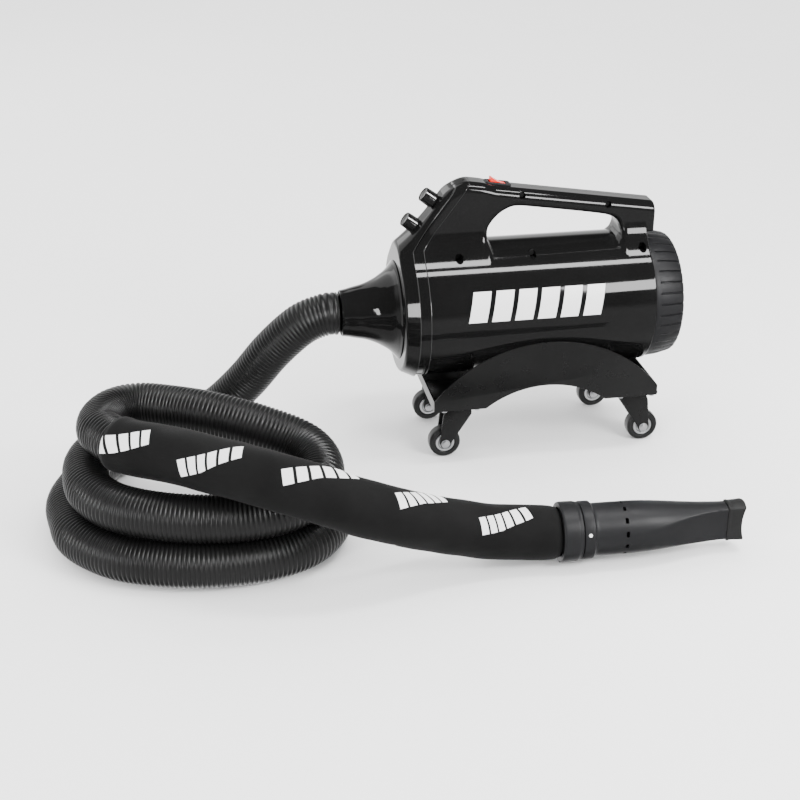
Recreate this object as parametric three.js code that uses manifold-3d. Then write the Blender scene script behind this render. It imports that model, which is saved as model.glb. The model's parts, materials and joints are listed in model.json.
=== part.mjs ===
// High-velocity pet grooming dryer on a caster cradle, with its hose, sleeve and nozzle.
// Millimetres, +Z up, nose towards -X. Lengths below are in the machine's own axes: X runs along
// the barrel from the front cover's seam, Z is measured from the barrel's axis.
import * as THREE from 'three';
import { mergeVertices } from 'three/addons/utils/BufferGeometryUtils.js';
import Module from 'manifold-3d';

const wasm = await Module();
wasm.setup();

// ---- driving dimensions ----
const GAP = 0.3; // clearance between pieces that touch
const WALL = 3;
const AXIS_HEIGHT = 185; // barrel axis above the floor
const BARREL_R = 85;
const BARREL_LENGTH = 301;
const MACHINE_MIN_X = -88;
const MACHINE_MAX_X = 343;

const SLAB_HALF = 22; // half width of the handle slab
const SLAB_ROUND = 14; // rounding of its top edges
const SLAB_REAR_X = 312;
const TOP_Z = 166; // top of the handle at TOP_X
const TOP_X = 62;
const TOP_SLOPE = -0.151;
const FOOT_HALF = 50; // half width of the flare where the slab meets the barrel

const SEAM_KNEE_Z = 87; // the front seam is upright below this height and slanted above it
const SLANT = THREE.MathUtils.degToRad(37); // lean of the control face from upright
const COVER_DEPTH = 17;
const COVER_REAR_R = 87;
const COVER_FRONT_R = 78.5;
const FACE_OFFSET = 6; // control face in front of the slanted seam
const FACE_HALF = 14;

const KNOB_R = 9.8;
const KNOB_LENGTH = 18;
const KNOB_SPACING = 38.4;
const KNOB_MID_U = 42.5; // midpoint of the two knobs up the slanted face
const POT_SHAFT_R = 3;

const SWITCH_X = 111;
const SWITCH_LENGTH = 33;
const SWITCH_WIDTH = 16;

const SOCKET_R = 27.6; // hose socket in the nose

const GLAND_X = 215; // cord gland under the barrel
const CAP_REAR_X = 339;
const CAP_R = 82;
const CAP_REAR_R = 77;

const PLATE_Y = 85.6; // inner face of the cradle's side plates
const SHEET = 2;
const CRADLE_FRONT_X = 17;
const CRADLE_REAR_X = 309;
const CRADLE_BOTTOM_Z = -107;
const CRADLE_END_Z = -93;
const ARCH_X = 163;
const ARCH_R = 185;
const ARCH_TOP_Z = -22;
const UNDER_ARCH_X = 162;
const UNDER_ARCH_HALF = 78;
const UNDER_ARCH_R = 130;
const SADDLE_XS = [70, 250];
const FRONT_FLANGE_X = 84; // where the flanges over the casters end
const REAR_FLANGE_X = 240;

const WHEEL_R = 20.5;
const WHEEL_WIDTH = 17;
const TRAIL = 17; // wheel axle behind the swivel axis
const CASTER_Y = 54;
const CASTER_PLATE = [56, 52, 2.5];
const CASTER_BOLTS = [21, 20]; // half spacing of the bolts along and across the plate
const CASTERS = [
  { name: 'front_left', x: 54, y: -CASTER_Y, trail: 180 },
  { name: 'rear_left', x: 286, y: -CASTER_Y, trail: 0 },
  { name: 'front_right', x: 54, y: CASTER_Y, trail: 180 },
  { name: 'rear_right', x: 286, y: CASTER_Y, trail: 180 },
];

const HOSE_R = 27;
const SLEEVE_R = 31;
const NOZZLE_R = 30;
const NOZZLE_START = [110.8, -325, 37]; // rear face of the collar, height above the floor
const NOZZLE_TURN = THREE.MathUtils.degToRad(-2.7);
const NOZZLE_SLOTS_X = 73.6; // ring of air slots, from the collar's rear face
const NOZZLE_FLAT_X = 77; // where the body starts to flatten
const NOZZLE_END = 195.2; // front end of the body, where the soft tip starts

// Housing screws: x, z of the axis and y of the seat that the head rests on.
const SCREWS = [
  { x: 56.5, z: 77.5, seat: -25, well: 5.2 },
  { x: 150, z: 76.6, seat: -28, well: 4.4 },
  { x: 292, z: 77.4, seat: -25, well: 5.2 },
  { x: 138.7, z: 147.5, seat: -13, well: 4.2 },
  { x: 249.7, z: 129.6, seat: -13, well: 4.2 },
];

// ---- materials ----
function paint(color, roughness, metalness) {
  return new THREE.MeshStandardMaterial({ color, roughness, metalness });
}
const GLOSS_BLACK = paint(0x0b0b0d, 0.12, 0);
const MATTE_BLACK = paint(0x1b1c1e, 0.55, 0);
const SHEET_BLACK = paint(0x151618, 0.3, 0.1);
const RED = paint(0xc81e12, 0.35, 0);
const STEEL = paint(0xb9bcc0, 0.3, 0.9);
const COPPER = paint(0xa85a2a, 0.4, 0.9);
const LAMINATION = paint(0x5a5d61, 0.5, 0.7);
const RUBBER = paint(0x161616, 0.75, 0);
const FOAM = paint(0x3a3d40, 0.95, 0);
const BOARD = paint(0x2e5a3a, 0.6, 0);
const MICA = paint(0xb59f76, 0.7, 0);
const FABRIC = paint(0x0d0d0e, 0.95, 0);

// ---- scene groups: everything stands on the floor, with the origin under its middle ----
const model = new THREE.Group();
const machine = new THREE.Group();
const hose = new THREE.Group();
const centreX = (MACHINE_MIN_X + MACHINE_MAX_X) / 2;
machine.position.set(-centreX, 0, AXIS_HEIGHT);
hose.position.set(-centreX, 0, 0);
model.add(machine, hose);

function add(name, geometry, material, group = machine) {
  const mesh = new THREE.Mesh(geometry, material);
  mesh.name = name;
  group.add(mesh);
  return mesh;
}

// ---- solids ----
function signedVolume(position, index) {
  let volume = 0;
  const [a, b, c] = [new THREE.Vector3(), new THREE.Vector3(), new THREE.Vector3()];
  for (let i = 0; i < index.length; i += 3) {
    a.fromArray(position, 3 * index[i]);
    b.fromArray(position, 3 * index[i + 1]);
    c.fromArray(position, 3 * index[i + 2]);
    volume += a.dot(b.cross(c)) / 6;
  }
  return volume;
}

// Closed, outward-facing solid from a three.js geometry.
function solid(geometry) {
  const bare = geometry.clone();
  bare.deleteAttribute('normal');
  bare.deleteAttribute('uv');
  const merged = mergeVertices(bare, 1e-4);
  const position = new Float32Array(merged.attributes.position.array);
  const index = new Uint32Array(merged.index.array);
  const outward = signedVolume(position, index) > 0;
  const kept = [];
  for (let i = 0; i < index.length; i += 3) {
    const [a, b, c] = [index[i], index[i + 1], index[i + 2]];
    if (a !== b && b !== c && c !== a) kept.push(a, outward ? b : c, outward ? c : b);
  }
  return new wasm.Manifold(new wasm.Mesh({
    numProp: 3,
    vertProperties: position,
    triVerts: new Uint32Array(kept),
  }));
}

function shell(manifold) {
  const mesh = manifold.getMesh();
  const geometry = new THREE.BufferGeometry();
  geometry.setAttribute('position', new THREE.BufferAttribute(new Float32Array(mesh.vertProperties), 3));
  geometry.setIndex(new THREE.BufferAttribute(new Uint32Array(mesh.triVerts), 1));
  geometry.computeVertexNormals();
  return geometry;
}

// The piece without the slivers that a cut along a shared face can leave.
const largest = (whole) => whole.decompose().sort((a, b) => b.volume() - a.volume())[0];
const joined = (...pieces) => pieces.reduce((whole, piece) => whole.add(piece));
const cut = (whole, ...pieces) => pieces.reduce((rest, piece) => rest.subtract(piece), whole);

// ---- shapes placed in the machine's axes ----
const TO_YZ = new THREE.Matrix4().makeBasis(
  new THREE.Vector3(0, 1, 0), new THREE.Vector3(0, 0, 1), new THREE.Vector3(1, 0, 0));

function outline(points) {
  return new THREE.Shape(points.map(([a, b]) => new THREE.Vector2(a, b)));
}

// Outline in X and Z, pulled along Y from y0 to y1.
function pulledY(points, y0, y1) {
  const geometry = new THREE.ExtrudeGeometry(outline(points), { depth: y1 - y0, bevelEnabled: false });
  return solid(geometry.rotateX(Math.PI / 2).translate(0, y1, 0));
}

// Outline in Y and Z, pulled along X from x0 to x1.
function pulledX(points, x0, x1) {
  const geometry = new THREE.ExtrudeGeometry(outline(points), { depth: x1 - x0, bevelEnabled: false });
  return solid(geometry.applyMatrix4(TO_YZ).translate(x0, 0, 0));
}

// Outline in X and Y, pulled along Z from z0 to z1.
function pulledZ(points, z0, z1) {
  const geometry = new THREE.ExtrudeGeometry(outline(points), { depth: z1 - z0, bevelEnabled: false });
  return solid(geometry.translate(0, 0, z0));
}

function box(x0, x1, y0, y1, z0, z1) {
  const geometry = new THREE.BoxGeometry(x1 - x0, y1 - y0, z1 - z0);
  return solid(geometry.translate((x0 + x1) / 2, (y0 + y1) / 2, (z0 + z1) / 2));
}

// Solid of revolution about X from a closed profile of [x, radius] points.
function turned(profile, segments = 32) {
  const points = profile.map(([x, r]) => new THREE.Vector2(r, x));
  return solid(new THREE.LatheGeometry(points, segments).rotateZ(-Math.PI / 2));
}

// Ring or tube between two radii, closed on itself.
function ring(x0, x1, inner, outer, segments = 24) {
  return turned([[x0, inner], [x1, inner], [x1, outer], [x0, outer], [x0, inner]], segments);
}

function rod(x0, x1, radius, segments = 24) {
  return turned([[x0, 0], [x0, radius], [x1, radius], [x1, 0]], segments);
}

// Cylinder along Y.
function pin(x, z, radius, y0, y1, segments = 14) {
  const geometry = new THREE.CylinderGeometry(radius, radius, y1 - y0, segments);
  return solid(geometry.translate(x, (y0 + y1) / 2, z));
}

// Cylinder along Z.
function post(x, y, radius, z0, z1, segments) {
  const geometry = new THREE.CylinderGeometry(radius, radius, z1 - z0, segments);
  return solid(geometry.rotateX(Math.PI / 2).translate(x, y, (z0 + z1) / 2));
}

function arc(cx, cz, radius, from, to, steps) {
  const points = [];
  for (let i = 0; i <= steps; i += 1) {
    const angle = from + ((to - from) * i) / steps;
    points.push([cx + radius * Math.cos(angle), cz + radius * Math.sin(angle)]);
  }
  return points;
}

const topZ = (x) => TOP_Z + TOP_SLOPE * (x - TOP_X);
const seamX = (z) => Math.max(0, (z - SEAM_KNEE_Z) * Math.tan(SLANT));

// ---- housing: barrel with a handle slab, split at Y = 0 ----

// Long bar with a rounded top that follows the handle's slope.
function slabBody(half, rounding, drop) {
  const points = [[half, 40], [half, TOP_Z - rounding - drop]];
  points.push(...arc(half - rounding, TOP_Z - rounding - drop, rounding, 0, Math.PI / 2, 4).slice(1));
  points.push(...arc(rounding - half, TOP_Z - rounding - drop, rounding, Math.PI / 2, Math.PI, 4));
  points.push([-half, 40]);
  const geometry = new THREE.ExtrudeGeometry(outline(points), { depth: 400, bevelEnabled: false });
  geometry.applyMatrix4(TO_YZ).translate(-40, 0, 0);
  const position = geometry.attributes.position;
  for (let i = 0; i < position.count; i += 1) {
    position.setZ(i, position.getZ(i) + TOP_SLOPE * (position.getX(i) - TOP_X));
  }
  return solid(geometry);
}

// Concave flare between the slab's sides and the barrel.
function flare(inset) {
  const reach = FOOT_HALF - SLAB_HALF;
  const low = Math.sqrt(BARREL_R ** 2 - FOOT_HALF ** 2);
  const right = arc(FOOT_HALF, low + reach + 10, reach + inset, -Math.PI / 2, -Math.PI, 5);
  const left = right.map(([y, z]) => [-y, z]).reverse();
  return pulledX([[-FOOT_HALF, 50], [FOOT_HALF, 50], ...right, ...left], -40, SLAB_REAR_X + 20);
}

// Side outline of the slab, drawn in by inset everywhere but at the front seam.
function slabOutline(inset) {
  const front = 168;
  return [
    [0, 40], [0, SEAM_KNEE_Z], [seamX(front), front], [seamX(front) + 5, topZ(TOP_X) + 10],
    [SLAB_REAR_X - inset, topZ(TOP_X) + 10], [SLAB_REAR_X - inset, 91 + inset],
    [BARREL_LENGTH - inset, 87 + inset], [BARREL_LENGTH - inset, 40],
  ];
}

// Finger opening under the handle.
function fingerOpening(grow) {
  const left = arc(131, 99, 35 + grow, Math.PI * 0.97, Math.PI * 0.52, 6);
  const top = [[250, 115 + grow], [262, 112 + grow * 0.8], [269 + grow, 104], [271 + grow, 92]];
  return [[101 - grow, 85.5 - grow], ...left, ...top, [268 + grow, 85.5 - grow]];
}

function housingOuter() {
  const slab = slabBody(SLAB_HALF, SLAB_ROUND, 0).add(flare(0)).intersect(pulledY(slabOutline(0), -60, 60));
  return rod(0, BARREL_LENGTH, BARREL_R, 56).add(slab);
}

function housingHollow() {
  const keep = pulledY(slabOutline(WALL), -60, 60).subtract(pulledY(fingerOpening(WALL), -60, 60));
  const slab = slabBody(SLAB_HALF - WALL, SLAB_ROUND - WALL, WALL).intersect(keep);
  return rod(-1, BARREL_LENGTH + 1, BARREL_R - WALL, 40).add(slab.add(box(-1, 70, -19, 19, 60, 95)));
}

function housing() {
  const outer = housingOuter();
  const core = rod(-1, BARREL_LENGTH + 1, 73, 40);
  const bosses = SCREWS.map(({ x, z, well }) => cut(pin(x, z, well + 1.8, -60, 60).intersect(outer), core));
  const wells = SCREWS.map(({ x, z, seat, well }) => pin(x, z, well, -60, seat));
  const bores = SCREWS.map(({ x, z }) => pin(x, z, 2.1, -60, 12, 10));
  const opening = pulledY(fingerOpening(0), -60, 60);
  const flareGap = pulledY([[101, 60], [268, 60], [268, 86], [101, 86]], -60, 60);
  const bareBarrel = rod(-1, BARREL_LENGTH + 1, BARREL_R + 0.02, 56);
  const switchHole = box(SWITCH_X - 13, SWITCH_X + 13, -6.6, 6.6, 140, 180);
  const gland = post(GLAND_X, 0, 8.3, -94, -74, 20);
  const body = cut(outer, housingHollow()).add(joined(...bosses));
  return cut(body, opening, flareGap.subtract(bareBarrel), ...wells, ...bores, switchHole, gland);
}

function addHousing() {
  const body = housing();
  const left = body.intersect(box(-10, 330, -100, -GAP / 2, -100, 200));
  const right = body.intersect(box(-10, 330, GAP / 2, 100, -100, 200));
  add('housing_left', shell(largest(left)), GLOSS_BLACK);
  add('housing_right', shell(largest(right)), GLOSS_BLACK);
  SCREWS.forEach(({ x, z, seat }, i) => {
    const head = pin(x, z, 3.4, seat - 2.9, seat - GAP, 12);
    add(`housing_screw_${i + 1}`, shell(head.add(pin(x, z, 1.7, seat - 1, 9, 8))), STEEL);
  });
}

// ---- front cover with the slanted control face ----

// Point on the slanted face: u up the face from the knee, w out from the seam.
function onSlant(u, w) {
  const [s, c] = [Math.sin(SLANT), Math.cos(SLANT)];
  return [u * s - w * c, SEAM_KNEE_Z + u * c + w * s];
}

// Prism whose section lies across the slanted face, in Y and w.
function slantPrism(points, u0, u1) {
  const geometry = new THREE.ExtrudeGeometry(outline(points), { depth: u1 - u0, bevelEnabled: false });
  const across = new THREE.Vector3(0, 1, 0);
  const out = new THREE.Vector3(-Math.cos(SLANT), 0, Math.sin(SLANT));
  const up = new THREE.Vector3().crossVectors(across, out);
  const frame = new THREE.Matrix4().makeBasis(across, out, up);
  const flip = up.z > 0 ? 1 : -1;
  geometry.translate(0, 0, flip > 0 ? u0 : -u1).applyMatrix4(frame);
  return solid(geometry.translate(0, 0, SEAM_KNEE_Z));
}

function slantPin(u, radius, w0, w1, segments = 24) {
  const geometry = new THREE.CylinderGeometry(radius, radius, w1 - w0, segments);
  geometry.rotateX(Math.PI / 2).rotateY(SLANT - Math.PI / 2);
  const [x, z] = onSlant(u, (w0 + w1) / 2);
  return solid(geometry.translate(x, 0, z));
}

const KNOB_US = [KNOB_MID_U + KNOB_SPACING / 2, KNOB_MID_U - KNOB_SPACING / 2];

function frontCover() {
  const front = -COVER_DEPTH;
  const rim = [[-GAP, COVER_REAR_R], [front + 2, COVER_FRONT_R + 1.5], [front, COVER_FRONT_R - 2]];
  const dish = turned([[-GAP, 0], ...rim, [-COVER_DEPTH, 0]], 48);
  const [topX, topY] = onSlant(98, GAP);
  const [faceX, faceZ] = onSlant(88, FACE_OFFSET);
  const side = [[-COVER_DEPTH, 40], [-GAP, 40], [-GAP, SEAM_KNEE_Z], [topX - GAP, topY],
    [topX - 4, topY + 1], [faceX, faceZ], [-COVER_DEPTH, SEAM_KNEE_Z - 13]];
  const bevel = [[FACE_HALF + 3, FACE_OFFSET - 1.5], [FACE_HALF, FACE_OFFSET]];
  const half = [[SLAB_HALF, -40], [SLAB_HALF, GAP + 1], ...bevel];
  const section = [...half, ...half.map(([y, w]) => [-y, w]).reverse()];
  const head = slantPrism(section, -60, 120).add(flare(0)).intersect(pulledY(side, -60, 60));
  const inner = FACE_OFFSET - WALL;
  const pocket = slantPrism([[-17, -60], [17, -60], [17, 1], [12, inner], [-12, inner], [-17, 1]], -2, 84);
  const dishPocket = turned([[0, 0], [0, 78], [-COVER_DEPTH + WALL, 74], [-COVER_DEPTH + WALL, 0]], 40);
  const outlet = rod(-30, 10, 56, 40);
  const shafts = KNOB_US.map((u) => slantPin(u, POT_SHAFT_R + 0.6, -10, 20, 12));
  return cut(dish.add(head), pocket, dishPocket, outlet, ...shafts);
}

function addControls() {
  const names = ['heat', 'speed'];
  KNOB_US.forEach((u, i) => {
    const knob = slantPin(u, KNOB_R, FACE_OFFSET + 0.5, FACE_OFFSET + 0.5 + KNOB_LENGTH, 20);
    const socket = slantPin(u, POT_SHAFT_R + 0.4, FACE_OFFSET - 1, FACE_OFFSET + 13, 12);
    add(`${names[i]}_knob`, shell(cut(knob, socket)), GLOSS_BLACK);
    const pot = slantPin(u, 8.2, -9.5, FACE_OFFSET - WALL - GAP, 16);
    add(`${names[i]}_pot`, shell(pot.add(slantPin(u, POT_SHAFT_R, -1, FACE_OFFSET + 12.5, 12))), STEEL);
  });
  const board = slantPrism([[-15, -12.2], [15, -12.2], [15, -10.6], [-15, -10.6]], 12, 80);
  add('control_board', shell(board), BOARD);
}

// ---- power switch on the handle's front ----
function addSwitch() {
  const lean = Math.atan(TOP_SLOPE);
  const group = new THREE.Group();
  group.position.set(SWITCH_X, 0, topZ(SWITCH_X));
  group.rotation.y = -lean;
  machine.add(group);
  const bezel = box(-SWITCH_LENGTH / 2, SWITCH_LENGTH / 2, -SWITCH_WIDTH / 2, SWITCH_WIDTH / 2, 0.5, 2.8);
  const body = box(-12.2, 12.2, -6, 6, -17, 1);
  const window = box(-12.2 + 1.2, 12.2 - 1.2, -4.9, 4.9, -10, 5);
  add('switch_body', shell(cut(bezel.add(body), window)), MATTE_BLACK, group);
  const face = [[-10.4, 8], [-9, 8.2], [1, 3.2], [10.3, 1.6]];
  const belly = [[10.3, 0.4], [2, -5.5], [-2, -5.5], [-10.4, 2.5]];
  add('switch_rocker', shell(pulledY([...face, ...belly], -4.5, 4.5)), RED, group);
}

// ---- nose cone and rear cap ----
function addNoseCone() {
  const flareOut = [[-58, 35.4], [-46, 40], [-37.6, 44.6], [-27.3, 51.7], [-19.5, 60.5]];
  const flareIn = flareOut.map(([x, r]) => [x, r - WALL]).reverse();
  const lip = [[-17.3, 63], [-17.3, 55.6], [-13, 55.6], [-13, 53]];
  const mouth = [[MACHINE_MIN_X, 28.8], [-72, 32.4]];
  const socket = [[-66, 30], [-66, SOCKET_R], [MACHINE_MIN_X, SOCKET_R]];
  const profile = [...mouth, ...flareOut, ...lip, ...flareIn, ...socket, mouth[0]];
  add('nose_cone', shell(turned(profile, 32)), GLOSS_BLACK);
}

function addRearCap() {
  const front = BARREL_LENGTH + GAP;
  const back = MACHINE_MAX_X;
  const shoulder = CAP_REAR_X - 18;
  const dome = [[back - 1.5, CAP_REAR_R - 8], [back, CAP_REAR_R - 20], [back, 0]];
  const outside = [[front, CAP_R], [shoulder, CAP_R - 1], [CAP_REAR_X, CAP_REAR_R], ...dome];
  const inside = [[back - WALL, 0], [back - WALL, CAP_REAR_R - 20], [CAP_REAR_X - WALL, CAP_REAR_R - WALL],
    [shoulder, CAP_R - 4], [front, CAP_R - 5]];
  const wall = [...outside, ...inside, outside[0]];
  const slots = [];
  for (let z = -40; z <= 40; z += 16) {
    const half = Math.sqrt(56 ** 2 - z ** 2);
    slots.push(box(330, 350, -half, -4, z - 4, z + 4), box(330, 350, 4, half, z - 4, z + 4));
  }
  const spigot = ring(BARREL_LENGTH - 1.5, BARREL_LENGTH + 2, CAP_R - 3, BARREL_R - WALL - 0.5, 36);
  add('rear_cap', shell(cut(turned(wall, 32).add(spigot), ...slots)), MATTE_BLACK);
  add('air_filter', shell(rod(CAP_REAR_X - 12, CAP_REAR_X - 3.5, CAP_REAR_R - 5, 28)), FOAM);
}

function addCordGland() {
  const flange = [[10.5, -90.2], [10.5, -88.2], [7.9, -85.8]];
  const groove = [[7.9, -81.2], [9.5, -80.8], [9.5, -76], [0, -76], [0, -94], [6.5, -94], [7, -90.2]];
  const points = [...flange, ...groove, flange[0]].map(([r, z]) => new THREE.Vector2(r, z));
  const geometry = new THREE.LatheGeometry(points, 14).rotateX(Math.PI / 2).translate(GLAND_X, 0, 0);
  add('cord_gland', shell(solid(geometry)), RUBBER);
}

// ---- motor, fans and heater inside the barrel ----
function addMotor() {
  const outside = [[118, 72], [172, 72], [172, 47], [246, 47], [246, 20]];
  const inside = [[243, 20], [243, 44], [169, 44], [169, 69], [121, 69], [121, 24], [118, 24]];
  const casing = turned([...outside, ...inside, outside[0]], 24);
  const vents = [0, 1].map((i) => {
    const vent = new THREE.BoxGeometry(40, 24, 120).translate(212, 0, 0);
    return solid(vent.rotateX((i * Math.PI) / 2));
  });
  const bracket = ring(240, 243.5, 10.4, 45, 24);
  const web = ring(169, 172, 10.4, 50, 24);
  add('motor_casing', shell(cut(casing, ...vents).add(bracket).add(web)), STEEL);
  const mountOuter = BARREL_R - WALL - 0.8;
  add('motor_mount_front', shell(ring(124, 136, 72.4, mountOuter)), RUBBER);
  add('motor_mount_rear', shell(ring(157, 168, 72.4, mountOuter)), RUBBER);
  add('stator', shell(ring(184, 226, 27.6, 43)), LAMINATION);
  add('armature', shell(ring(186, 224, 4.4, 26.8, 20).add(ring(222, 236, 4.4, 14, 20))), COPPER);
  add('motor_shaft', shell(rod(122.5, 245, 4, 12)), STEEL);
  add('impeller_1', shell(impeller(126)), STEEL);
  add('impeller_2', shell(impeller(148)), STEEL);
  add('bearing_front', shell(ring(168, 176, 4.3, 10.1, 14)), STEEL);
  add('bearing_rear', shell(ring(238.5, 245, 4.3, 10.1, 14)), STEEL);
}

// Fan wheel: two discs with straight blades between them.
function impeller(x) {
  const hub = ring(x, x + 14, 4.4, 12, 12);
  const discs = ring(x, x + 2, 11, 64).add(ring(x + 12, x + 14, 11, 64));
  const blade = new THREE.BoxGeometry(11, 3, 50).translate(x + 7, 0, 37);
  const blades = [0, 1, 2, 3, 4, 5].map((i) => solid(blade.clone().rotateX((i * Math.PI) / 3)));
  return joined(hub, discs, ...blades);
}

function addHeater() {
  const reach = BARREL_R - WALL - 2.4;
  const rim = ring(20, 74, reach - 0.4, reach + 1.4, 32);
  const cross = joined(box(20, 74, -reach, reach, -1, 1), box(20, 74, -1, 1, -reach, reach));
  const channel = ring(40, 50, 34, 62, 24);
  const boss = pin(SCREWS[0].x, SCREWS[0].z, SCREWS[0].well + 2.6, -60, 60);
  add('heater_frame', shell(cut(rim.add(cross), channel, boss)), MICA);
  add('heater_coil', shell(ring(42, 48, 37, 59)), STEEL);
}

// ---- sheet-metal cradle ----
function sidePlate() {
  const archEnd = Math.acos((CRADLE_REAR_X - ARCH_X) / ARCH_R);
  const lowEnd = Math.acos(UNDER_ARCH_HALF / UNDER_ARCH_R);
  const drop = UNDER_ARCH_R * Math.sin(lowEnd);
  const top = arc(ARCH_X, ARCH_TOP_Z - ARCH_R, ARCH_R, archEnd, Math.PI - archEnd, 18);
  const under = arc(UNDER_ARCH_X, CRADLE_BOTTOM_Z - drop, UNDER_ARCH_R, Math.PI - lowEnd, lowEnd, 10);
  return [[CRADLE_REAR_X, CRADLE_BOTTOM_Z], [CRADLE_REAR_X, CRADLE_END_Z], ...top.slice(1, -1),
    [CRADLE_FRONT_X, CRADLE_END_Z], [CRADLE_FRONT_X, CRADLE_BOTTOM_Z], ...under];
}

function addCradle() {
  const plate = pulledY(sidePlate(), PLATE_Y, PLATE_Y + SHEET);
  const low = CRADLE_BOTTOM_Z;
  const endGap = SHEET + GAP;
  const flanges = [[CRADLE_FRONT_X + endGap, FRONT_FLANGE_X], [REAR_FLANGE_X, CRADLE_REAR_X - endGap]]
    .map(([x0, x1]) => box(x0, x1, GAP / 2, PLATE_Y + 1, low, low + SHEET));
  const side = joined(plate, ...flanges);
  add('cradle_side_right', shell(side), SHEET_BLACK);
  add('cradle_side_left', shell(side.mirror([0, 1, 0])), SHEET_BLACK);
  const reach = PLATE_Y - GAP;
  const end = (x) => box(x, x + SHEET, -reach, reach, low, CRADLE_END_Z);
  add('cradle_end_front', shell(end(CRADLE_FRONT_X)), SHEET_BLACK);
  add('cradle_end_rear', shell(end(CRADLE_REAR_X - SHEET)), SHEET_BLACK);
  SADDLE_XS.forEach((x, i) => {
    const hollow = arc(0, 0, BARREL_R + GAP, -Math.PI * 0.78, -Math.PI * 0.22, 16).reverse();
    const base = [[-reach, -60], [-reach, low + SHEET + GAP], [reach, low + SHEET + GAP], [reach, -60]];
    const foot = [...base, [62, -60], ...hollow, [-62, -60]];
    add(`cradle_saddle_${i + 1}`, shell(pulledX(foot, x, x + SHEET)), SHEET_BLACK);
  });
}

// ---- swivel casters ----
function addCaster({ name, x, y, trail }) {
  const plateTop = CRADLE_BOTTOM_Z - GAP;
  const [length, width, thick] = CASTER_PLATE;
  const axle = -AXIS_HEIGHT + WHEEL_R;
  const group = new THREE.Group();
  group.position.set(x, y, 0);
  machine.add(group);
  const plate = box(-length / 2, length / 2, -width / 2, width / 2, plateTop - thick, plateTop);
  const bearingLow = plateTop - thick - 5;
  const bearing = post(0, 0, 13, bearingLow, plateTop - 1, 16);
  const [along, across] = CASTER_BOLTS;
  const bolts = [[along, across], [along, -across], [-along, across], [-along, -across]]
    .map(([dx, dy]) => post(dx, dy, 4.3, plateTop - thick - 3.8, plateTop - thick + 0.5, 6));
  add(`caster_plate_${name}`, shell(joined(plate, bearing, ...bolts)), STEEL, group);
  const swivel = new THREE.Group();
  swivel.rotation.z = THREE.MathUtils.degToRad(trail);
  group.add(swivel);
  const crown = bearingLow - GAP;
  const shoulder = [[-17, crown - 2], [17, crown - 2], [20, crown - 8]];
  const foot = [[6.5, axle - 2], [3, axle - 6], [-3, axle - 6], [-7, axle - 2]];
  const cheek = [...shoulder, ...foot.map(([x, z]) => [TRAIL + x, z])];
  const half = WHEEL_WIDTH / 2 + 1.2;
  const outer = half + 1.8;
  const cheeks = pulledY(cheek, half, outer).add(pulledY(cheek, -outer, -half));
  const race = post(0, 0, 15, crown - 2.5, crown, 16);
  const top = box(-17, 17, -outer, outer, crown - 2.5, crown - 0.3).add(race);
  const bore = pin(TRAIL, axle, 3.3, -20, 20, 12);
  add(`caster_fork_${name}`, shell(cut(top.add(cheeks), bore)), SHEET_BLACK, swivel);
  const tread = WHEEL_WIDTH / 2;
  const profile = [[-tread, 3.4], [-tread, 14.5], [-tread + 1.2, 19.5], [-tread + 4, WHEEL_R]];
  const other = profile.map(([p, r]) => [-p, r]).reverse();
  const wheelPoints = [...profile, ...other, profile[0]].map(([p, r]) => new THREE.Vector2(r, p));
  const wheel = new THREE.LatheGeometry(wheelPoints, 20).translate(TRAIL, 0, axle);
  add(`caster_wheel_${name}`, shell(solid(wheel)), RUBBER, swivel);
  const head = outer + GAP;
  const heads = joined(pin(TRAIL, axle, 5, head, head + 3, 6), pin(TRAIL, axle, 5, -head - 3, -head, 6));
  const bolt = heads.add(pin(TRAIL, axle, 3, -head - 2.5, head + 2.5, 12));
  add(`caster_axle_${name}`, shell(bolt), STEEL, swivel);
}

// ---- hose: free lead, coil on the floor, sleeved end, nozzle ----

// Free stretch from the nose down to the coil, heights above the floor.
const LEAD_ROUTE = [
  [-90.3, 0, 185], [-108, 0, 184.4], [-138, 4, 171], [-174, 16, 134], [-208, 30, 88], [-246, 38, 50],
  [-292, 33, 28], [-344, 10, 27.2], [-392, -40, 27.2], [-421, -102, 27.2],
];
// Sleeved stretch from the coil's top left down to the collar.
const SLEEVE_ROUTE = [
  [-379, -200, 139.5], [-362, -224, 139.5], [-325, -247, 139.5], [-272, -283, 139.5], [-216, -324, 138.5],
  [-165, -345, 127], [-122, -350, 110], [-74, -344, 87], [-26, -330, 64], [26, -322, 46], [66, -322.4, 39.4],
  [94, -324.2, 37.1], [109.6, -325, 37],
];

function tube(route, radius, steps, sides = 12) {
  const points = route.map((point) => new THREE.Vector3(...point));
  const curve = new THREE.CatmullRomCurve3(points, false, 'centripetal');
  const section = outline(arc(0, 0, radius, 0, 2 * Math.PI * (1 - 1 / sides), sides - 1));
  return solid(new THREE.ExtrudeGeometry(section, { steps, extrudePath: curve, bevelEnabled: false }));
}

// The coil is a stack of oval turns whose long axis is turned about Z.
const COIL_TURN = THREE.MathUtils.degToRad(-26);
const COIL_CENTRE = [-286, -213];
const COIL_TOP = 162;
const COIL_SHELF = 107.9; // top of the two lower turns, where the sleeve rests

// Points in the coil's own axes, turned and moved to its place.
function placed(points) {
  const [c, s] = [Math.cos(COIL_TURN), Math.sin(COIL_TURN)];
  return points.map(([t, n]) => [COIL_CENTRE[0] + t * c - n * s, COIL_CENTRE[1] + t * s + n * c]);
}

// Oval with straight sides and round ends, in the coil's own axes.
function oval(left, right, half) {
  const rightEnd = arc(right - half, 0, half, -Math.PI / 2, Math.PI / 2, 12);
  const leftEnd = arc(left + half, 0, half, Math.PI / 2, 1.5 * Math.PI, 12);
  return placed([...rightEnd, ...leftEnd]);
}

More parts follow.
